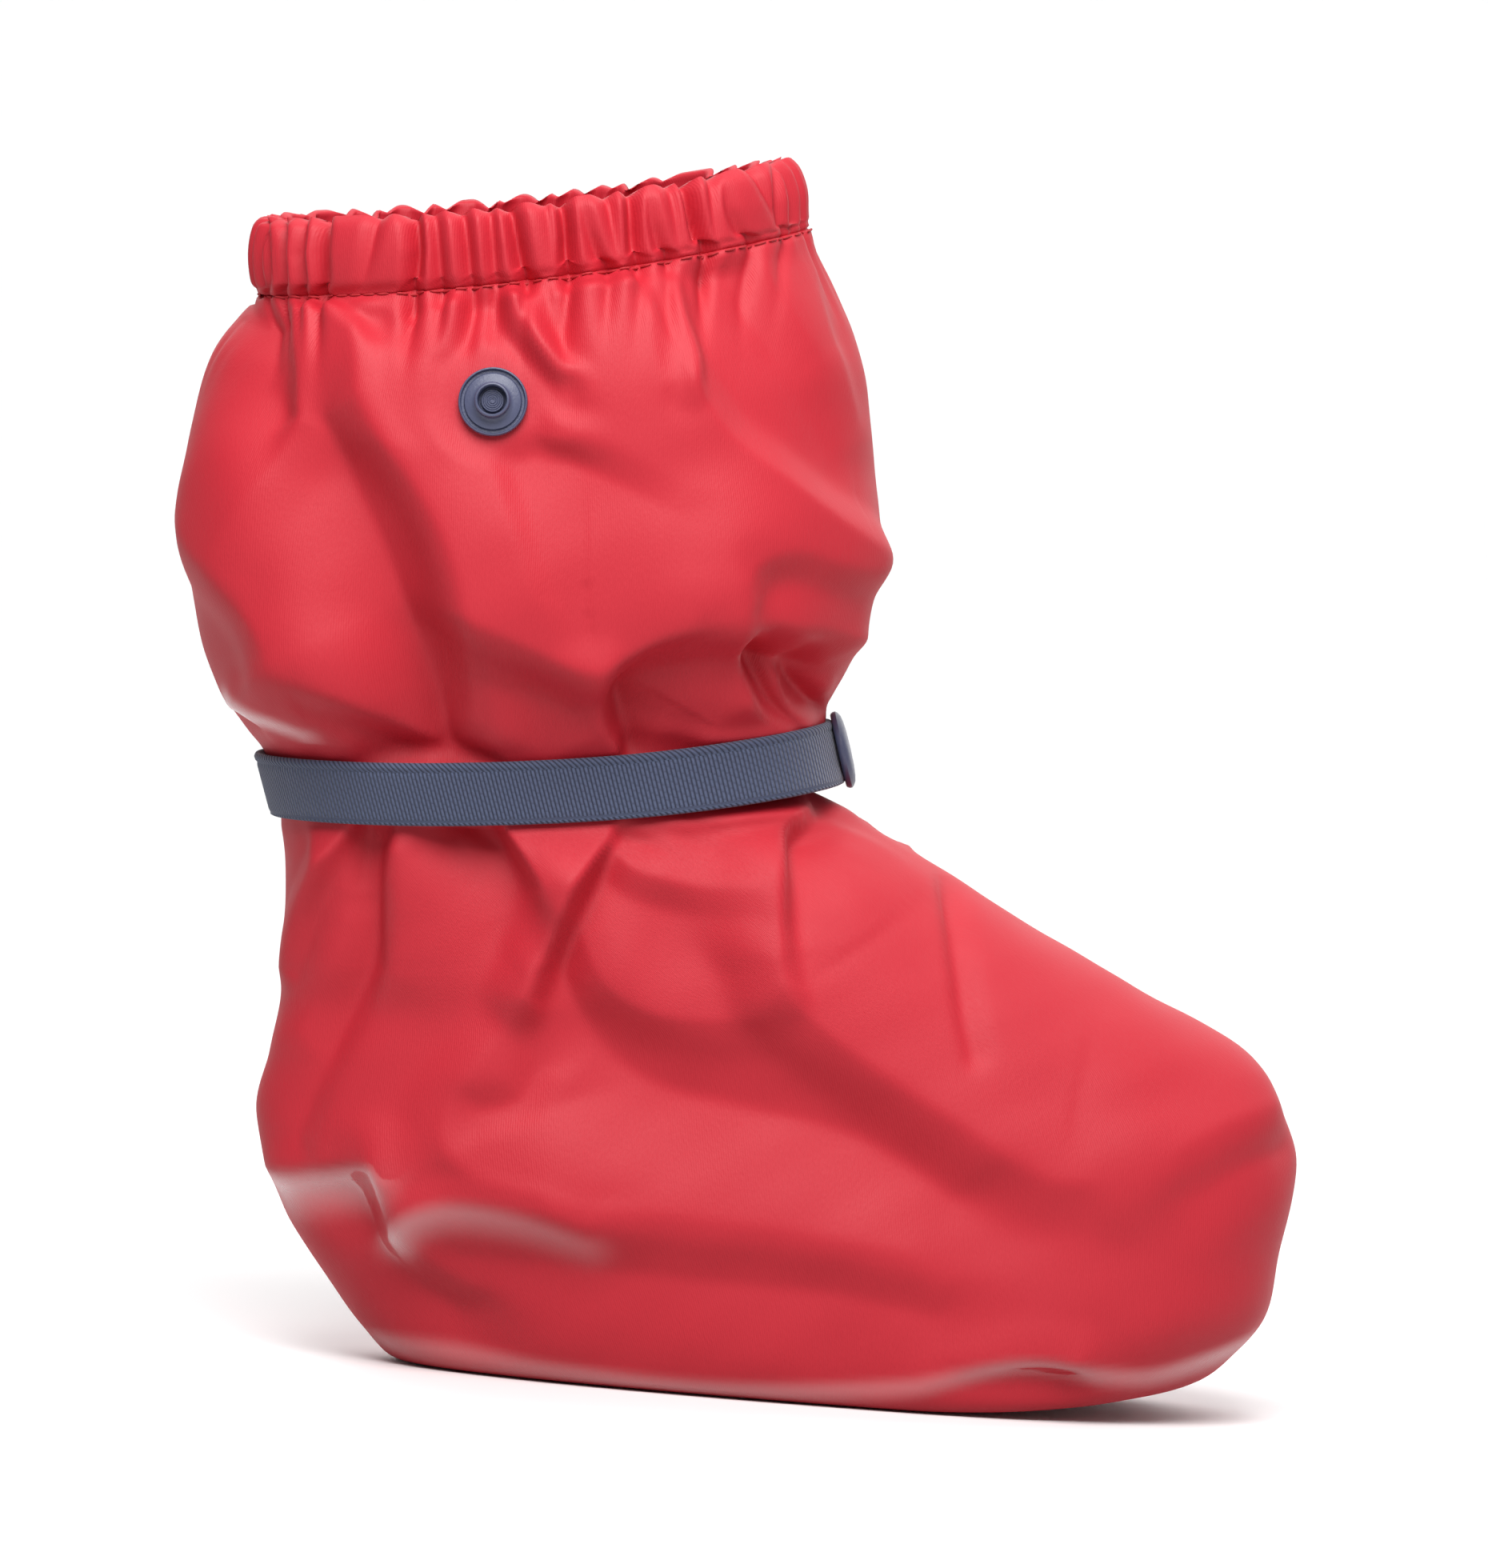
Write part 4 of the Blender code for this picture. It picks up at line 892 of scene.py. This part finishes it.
elastic, elastic_nodes = new_material(
    "navy_elastic",
    place="ShaderNodeTexCoord",
    parts="ShaderNodeSeparateXYZ",
    fuzz="ShaderNodeTexNoise",
    colour="ShaderNodeMix",
    bumps="ShaderNodeBump",
)
across, along_strap = elastic_nodes["parts"].outputs["X"], elastic_nodes["parts"].outputs["Y"]
rib_number = calc("DIVIDE", along_strap, RIB_PITCH)
stagger = calc("MULTIPLY", calc("FLOOR", rib_number), RIB_STAGGER)
float_number = calc("ADD", calc("DIVIDE", across, FLOAT_LENGTH), stagger)
float_round = calc("MULTIPLY_ADD", calc("SQRT", bow(float_number)), 0.45, 0.55)
woven = calc("MULTIPLY", bow(rib_number), float_round)
slant = calc("MULTIPLY", across, OVERCAST_SLANT)
overcast = bow(calc("ADD", calc("DIVIDE", along_strap, OVERCAST_PITCH), slant))
is_selvage = calc("GREATER_THAN", across, strap_mean_width - STRAP_HALF_WALL - SELVAGE)
is_plain = calc("LESS_THAN", across, PLAIN_EDGE - 0.2)
is_ribbed = calc("SUBTRACT", 1.0, calc("MAXIMUM", is_selvage, is_plain))
body = calc("MULTIPLY", woven, is_ribbed)
edge = calc("MULTIPLY", calc("MULTIPLY", overcast, 0.9), is_selvage)
weave = calc("ADD", calc("ADD", body, edge), calc("MULTIPLY", is_plain, 0.5))
fuzz = calc("MULTIPLY_ADD", elastic_nodes["fuzz"].outputs["Fac"], 0.7, 0.65)
# The weave's height sets both the bumps and the colour. So the colour is painted shade, darkest in the
# hollows between the floats, and a painted highlight, lightest on their crests.
fuzzy_weave = calc("MULTIPLY", weave, fuzz)
elastic_nodes["fuzzy_weave"] = fuzzy_weave.node
elastic_nodes["colour"].data_type = "RGBA"
set_inputs(elastic_nodes["fuzz"], Scale=5.0, Detail=3.0)
set_inputs(elastic_nodes["colour"], A=(*STRAP_HOLLOW_SHADE, 1.0), B=(*STRAP_CREST_HIGHLIGHT, 1.0))
set_inputs(elastic_nodes["bumps"], Strength=0.9, Distance=0.00018)
set_inputs(elastic_nodes["shader"], Roughness=0.75, Sheen_Weight=0.25, Sheen_Roughness=0.4)
connect(
    elastic_nodes,
    ("place", "UV", "parts", "Vector"),
    ("place", "UV", "fuzz", "Vector"),
    ("fuzzy_weave", "Value", "colour", "Factor"),
    ("fuzzy_weave", "Value", "bumps", "Height"),
    ("colour", "Result", "shader", "Base Color"),
    ("bumps", "Normal", "shader", "Normal"),
)
strap.data.materials.append(elastic)
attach(strap, "root")
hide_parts("ankle_strap")


# Snaps: moulded navy plastic, one stud alone on the shaft and one closed set at the strap's ends.
# Each cap's pin goes through cloth or strap, and its end is pressed flat to hold the stud or socket.
SNAP_NAVY = (0.068, 0.075, 0.138)
TURN_STEPS = 72
PIN_HEAD_UP = 1.6
SNAP_SHARP_ABOVE = 35.0
SNAP_CAP_RADIUS, BACK_CAP_RADIUS, PIN_RADIUS = 6.2, 4.8, 1.0
SIDE_BOSS, STRAP_BOSS = 3.0, 2.1
snap_plastic, snap_nodes = new_material(
    "navy_snap_plastic",
    place="ShaderNodeTexCoord",
    grain="ShaderNodeTexNoise",
    gloss="ShaderNodeMapRange",
    bumps="ShaderNodeBump",
)
set_inputs(snap_nodes["grain"], Scale=2400.0, Detail=4.0)
set_inputs(snap_nodes["gloss"], To_Min=0.30, To_Max=0.48)
set_inputs(snap_nodes["bumps"], Strength=0.6, Distance=0.00006)
set_inputs(snap_nodes["shader"], Base_Color=(*SNAP_NAVY, 1.0), IOR=1.5)
connect(
    snap_nodes,
    ("place", "Object", "grain", "Vector"),
    ("grain", "Fac", "gloss", "Value"),
    ("grain", "Fac", "bumps", "Height"),
    ("gloss", "Result", "shader", "Roughness"),
    ("bumps", "Normal", "shader", "Normal"),
)


def snap_part(name, node, outline, base, outward, facing_in=False):
    """A round plastic piece: a closed outline of radius and height, turned about its axis."""
    shape = bmesh.new()
    corners = [shape.verts.new((radius, 0.0, up)) for radius, up in outline]
    for start, end in zip(corners, corners[1:] + corners[:1]):
        if start.co.x + end.co.x > 0.0:
            shape.edges.new((start, end))
    bmesh.ops.spin(shape, geom=shape.verts[:] + shape.edges[:], axis=(0.0, 0.0, 1.0),
                   angle=2.0 * math.pi, steps=TURN_STEPS, use_merge=True)
    bmesh.ops.remove_doubles(shape, verts=shape.verts, dist=0.0005)
    bmesh.ops.recalc_face_normals(shape, faces=shape.faces)
    frame_turn = Vector(outward).to_track_quat("Z", "Y").to_matrix().to_4x4()
    if facing_in:
        frame_turn @= Matrix.Rotation(math.pi, 4, "X")
    placing = Matrix.Scale(MM, 4) @ Matrix.Translation(Vector(base)) @ frame_turn
    bmesh.ops.transform(shape, matrix=placing, verts=shape.verts)
    piece = as_piece(name, shape, SNAP_SHARP_ABOVE)
    piece.data.materials.append(snap_plastic)
    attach(piece, "root")
    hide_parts(node)


def stud_outline(boss_height):
    """A rimmed flange with a groove inside the rim, and a hollow boss with a rounded lip."""
    rim = [(1.35, 0.0), (5.25, 0.0), (5.40, 0.12), (5.45, 0.35)]
    rim += [(5.42, 0.70), (5.32, 0.88), (5.20, 0.92), (5.10, 0.86)]
    groove = [(5.04, 0.60), (4.94, 0.34), (4.58, 0.34), (4.48, 0.60), (4.40, 0.84), (4.28, 0.92)]
    shoulder = [(3.40, 1.04), (3.00, 1.16), (2.78, 1.36), (2.70, 1.65)]
    lip = [(0.02, 0.75), (0.10, 0.48), (0.10, 0.28), (0.02, 0.10)]
    lip += [(-0.10, 0.02), (-0.24, 0.0), (-0.34, 0.06), (-0.40, 0.20)]
    boss = [(2.68 + out, boss_height - down) for out, down in lip]
    bore = [(2.24, 1.10), (2.18, 0.92), (2.05, 0.85), (1.35, 0.85)]
    return rim + groove + shoulder + boss + bore


def cap_outline(radius, thickness, pin_radius, pin_end, head):
    """A domed disc with a rolled edge, its pin and the pin's end."""
    dome = [(0.0, -thickness), (0.45 * radius, -thickness + 0.06), (0.70 * radius, -thickness + 0.20)]
    dome += [(0.86 * radius, -thickness + 0.42), (0.95 * radius, -0.62 * thickness)]
    edge = [(radius, -0.45 * thickness), (radius, -0.25 * thickness)]
    edge += [(0.97 * radius, -0.08 * thickness), (0.93 * radius, 0.0)]
    return dome + edge + [(pin_radius, 0.0), (pin_radius, pin_end)] + head


stud_axis = Vector(side_stud["axis"])
stud_base = Vector(STUD_PLACE) - stud_axis * PIN_HEAD_UP
snap_part("side_stud", "side_snap_stud", stud_outline(SIDE_BOSS), stud_base, stud_axis)

# The side cap's pin shows in the stud's boss, and its pressed end is moulded in fine rings.
CAP_UNDER_STUD = 2.1
HEAD_RINGS, RING_STEP = 5, 0.32
RING_HIGH, RING_LOW = 0.5, 0.36
head_rings = []
for ring in range(HEAD_RINGS, 0, -1):
    radius = RING_STEP * ring
    head_rings += [(radius + 0.10, RING_HIGH), (radius + 0.02, RING_HIGH)]
    head_rings += [(radius - 0.04, RING_LOW), (radius - 0.10, RING_LOW)]
pin_head = [(1.72, 0.0), (1.78, 0.15), (1.78, 0.38), (1.72, 0.46)] + head_rings + [(0.0, RING_LOW)]
pin_end = CAP_UNDER_STUD + PIN_HEAD_UP - RING_HIGH
side_head = [(radius, pin_end + up) for radius, up in pin_head]
side_cap_outline = cap_outline(SNAP_CAP_RADIUS, 1.2, PIN_RADIUS, pin_end, side_head)
cap_base = stud_base - stud_axis * CAP_UNDER_STUD
snap_part("side_cap", "side_snap_cap", side_cap_outline, cap_base, stud_axis)

# The closed set at the strap's ends, from the inner end's back cap out to the cap that shows.
front_low, front_high = Vector(strap_rings[0][0]), Vector(strap_rings[1][0])
front_outward = Vector(strap_rings[0][1] - strap_rings[0][-1]).cross(front_high - front_low).normalized()
front_middle = (front_low + front_high) / 2.0


def at_front(seat):
    """The place at the strap's front, a distance out from the cloth."""
    return front_middle + front_outward * seat


BACK_CAP_SEAT, STUD_SEAT, SOCKET_SEAT, CAP_SEAT = 1.1, 3.4, 4.5, 8.0
back_pin = [(PIN_RADIUS, 2.8), (0.0, 2.8)]
back_cap_outline = cap_outline(BACK_CAP_RADIUS, 0.8, PIN_RADIUS, 2.6, back_pin)
back_cap_base = at_front(BACK_CAP_SEAT)
snap_part("strap_back_cap", "strap_snap_back_cap", back_cap_outline, back_cap_base, front_outward)
snap_part("strap_stud", "strap_snap_stud", stud_outline(STRAP_BOSS), at_front(STUD_SEAT), front_outward)
socket_outline = [(3.15, 0.0), (5.10, 0.0), (5.35, 0.10), (5.45, 0.35), (5.45, 1.35)]
socket_outline += [(5.35, 1.60), (5.10, 1.70), (1.35, 1.70), (1.35, 1.35), (3.15, 1.35)]
snap_part("strap_socket", "strap_snap_socket", socket_outline, at_front(SOCKET_SEAT), front_outward)
cap_pin = [(PIN_RADIUS, 2.3), (0.0, 2.3)]
front_cap_outline = cap_outline(SNAP_CAP_RADIUS, 2.0, PIN_RADIUS, 2.2, cap_pin)
snap_part("strap_cap", "strap_snap_cap", front_cap_outline, at_front(CAP_SEAT), front_outward, facing_in=True)


# Studio: a pale floor that runs out of sight, a soft key light and a softbox from in front and above,
# a weak fill from the toe, a light from behind, and dim white surroundings. To soft light the floor
# sends back less than it shows, so that it doesn't flood the foot.
FLOOR_REACH = 40.0
floor_shape = bmesh.new()
bmesh.ops.create_grid(floor_shape, x_segments=1, y_segments=1, size=FLOOR_REACH)
floor = as_piece("floor", floor_shape)
floor_white, floor_nodes = new_material("pale_floor", ray="ShaderNodeLightPath", colour="ShaderNodeMix")
floor_nodes["colour"].data_type = "RGBA"
set_inputs(floor_nodes["colour"], A=(0.95, 0.95, 0.95, 1.0), B=(0.36, 0.36, 0.36, 1.0))
set_inputs(floor_nodes["shader"], Roughness=0.7)
connect(
    floor_nodes,
    ("ray", "Is Diffuse Ray", "colour", "Factor"),
    ("colour", "Result", "shader", "Base Color"),
)
floor.data.materials.append(floor_white)

scene = bpy.context.scene
scene.view_settings.view_transform = "Standard"
world = bpy.data.worlds.new("white_surroundings")
world.use_nodes = True
set_inputs(world.node_tree.nodes["Background"], Color=(1.0, 1.0, 1.0, 1.0), Strength=0.26)
scene.world = world

# Each sun: the direction it comes from, its strength and its spread in degrees.
SUNS = {
    "key": (Vector((-0.04, -0.66, 0.75)), 1.2, 40.0),
    "fill": (Vector((0.75, -0.45, 0.48)), 0.3, 90.0),
    "back": (Vector((0.15, 0.80, 0.58)), 2.2, 90.0),
}
for name, (from_where, strength, spread) in SUNS.items():
    light_data = bpy.data.lights.new(name, "SUN")
    light_data.energy = strength
    light_data.angle = math.radians(spread)
    light = bpy.data.objects.new(name, light_data)
    light.rotation_euler = from_where.to_track_quat("Z", "Y").to_euler()
    scene.collection.objects.link(light)

SOFTBOX_PLACE, SOFTBOX_AIM = Vector((-0.02, -0.34, 0.52)), Vector((-0.02, 0.0, 0.12))
SOFTBOX_POWER, SOFTBOX_SIZE = 2.85, 0.4
softbox_data = bpy.data.lights.new("softbox", "AREA")
softbox_data.energy = SOFTBOX_POWER
softbox_data.size = SOFTBOX_SIZE
softbox = bpy.data.objects.new("softbox", softbox_data)
softbox.location = SOFTBOX_PLACE
softbox.rotation_euler = (SOFTBOX_PLACE - SOFTBOX_AIM).to_track_quat("Z", "Y").to_euler()
scene.collection.objects.link(softbox)

# The camera stands level with the ankle, far off, and is rolled as the photograph is.
VIEW_TARGET = Vector((-0.00028, 0.0, 0.0954))
VIEW_ELEVATION = math.radians(3.5)
VIEW_ROLL = math.radians(4.0)
VIEW_DISTANCE = 2.5
VIEW_WIDTH = 0.2362
camera_data = bpy.data.cameras.new("camera")
camera_data.sensor_fit = "HORIZONTAL"
camera_data.sensor_width = 36.0
camera_data.lens = camera_data.sensor_width * VIEW_DISTANCE / VIEW_WIDTH
camera = bpy.data.objects.new("camera", camera_data)
backwards = Vector((0.0, -math.cos(VIEW_ELEVATION), math.sin(VIEW_ELEVATION)))
upwards = Vector((-math.sin(VIEW_ROLL), 0.0, math.cos(VIEW_ROLL)))
sideways = upwards.cross(backwards).normalized()
upwards = backwards.cross(sideways)
camera.matrix_world = Matrix.Translation(VIEW_TARGET + backwards * VIEW_DISTANCE) @ Matrix(
    (sideways, upwards, backwards)
).transposed().to_4x4()
scene.collection.objects.link(camera)
scene.camera = camera
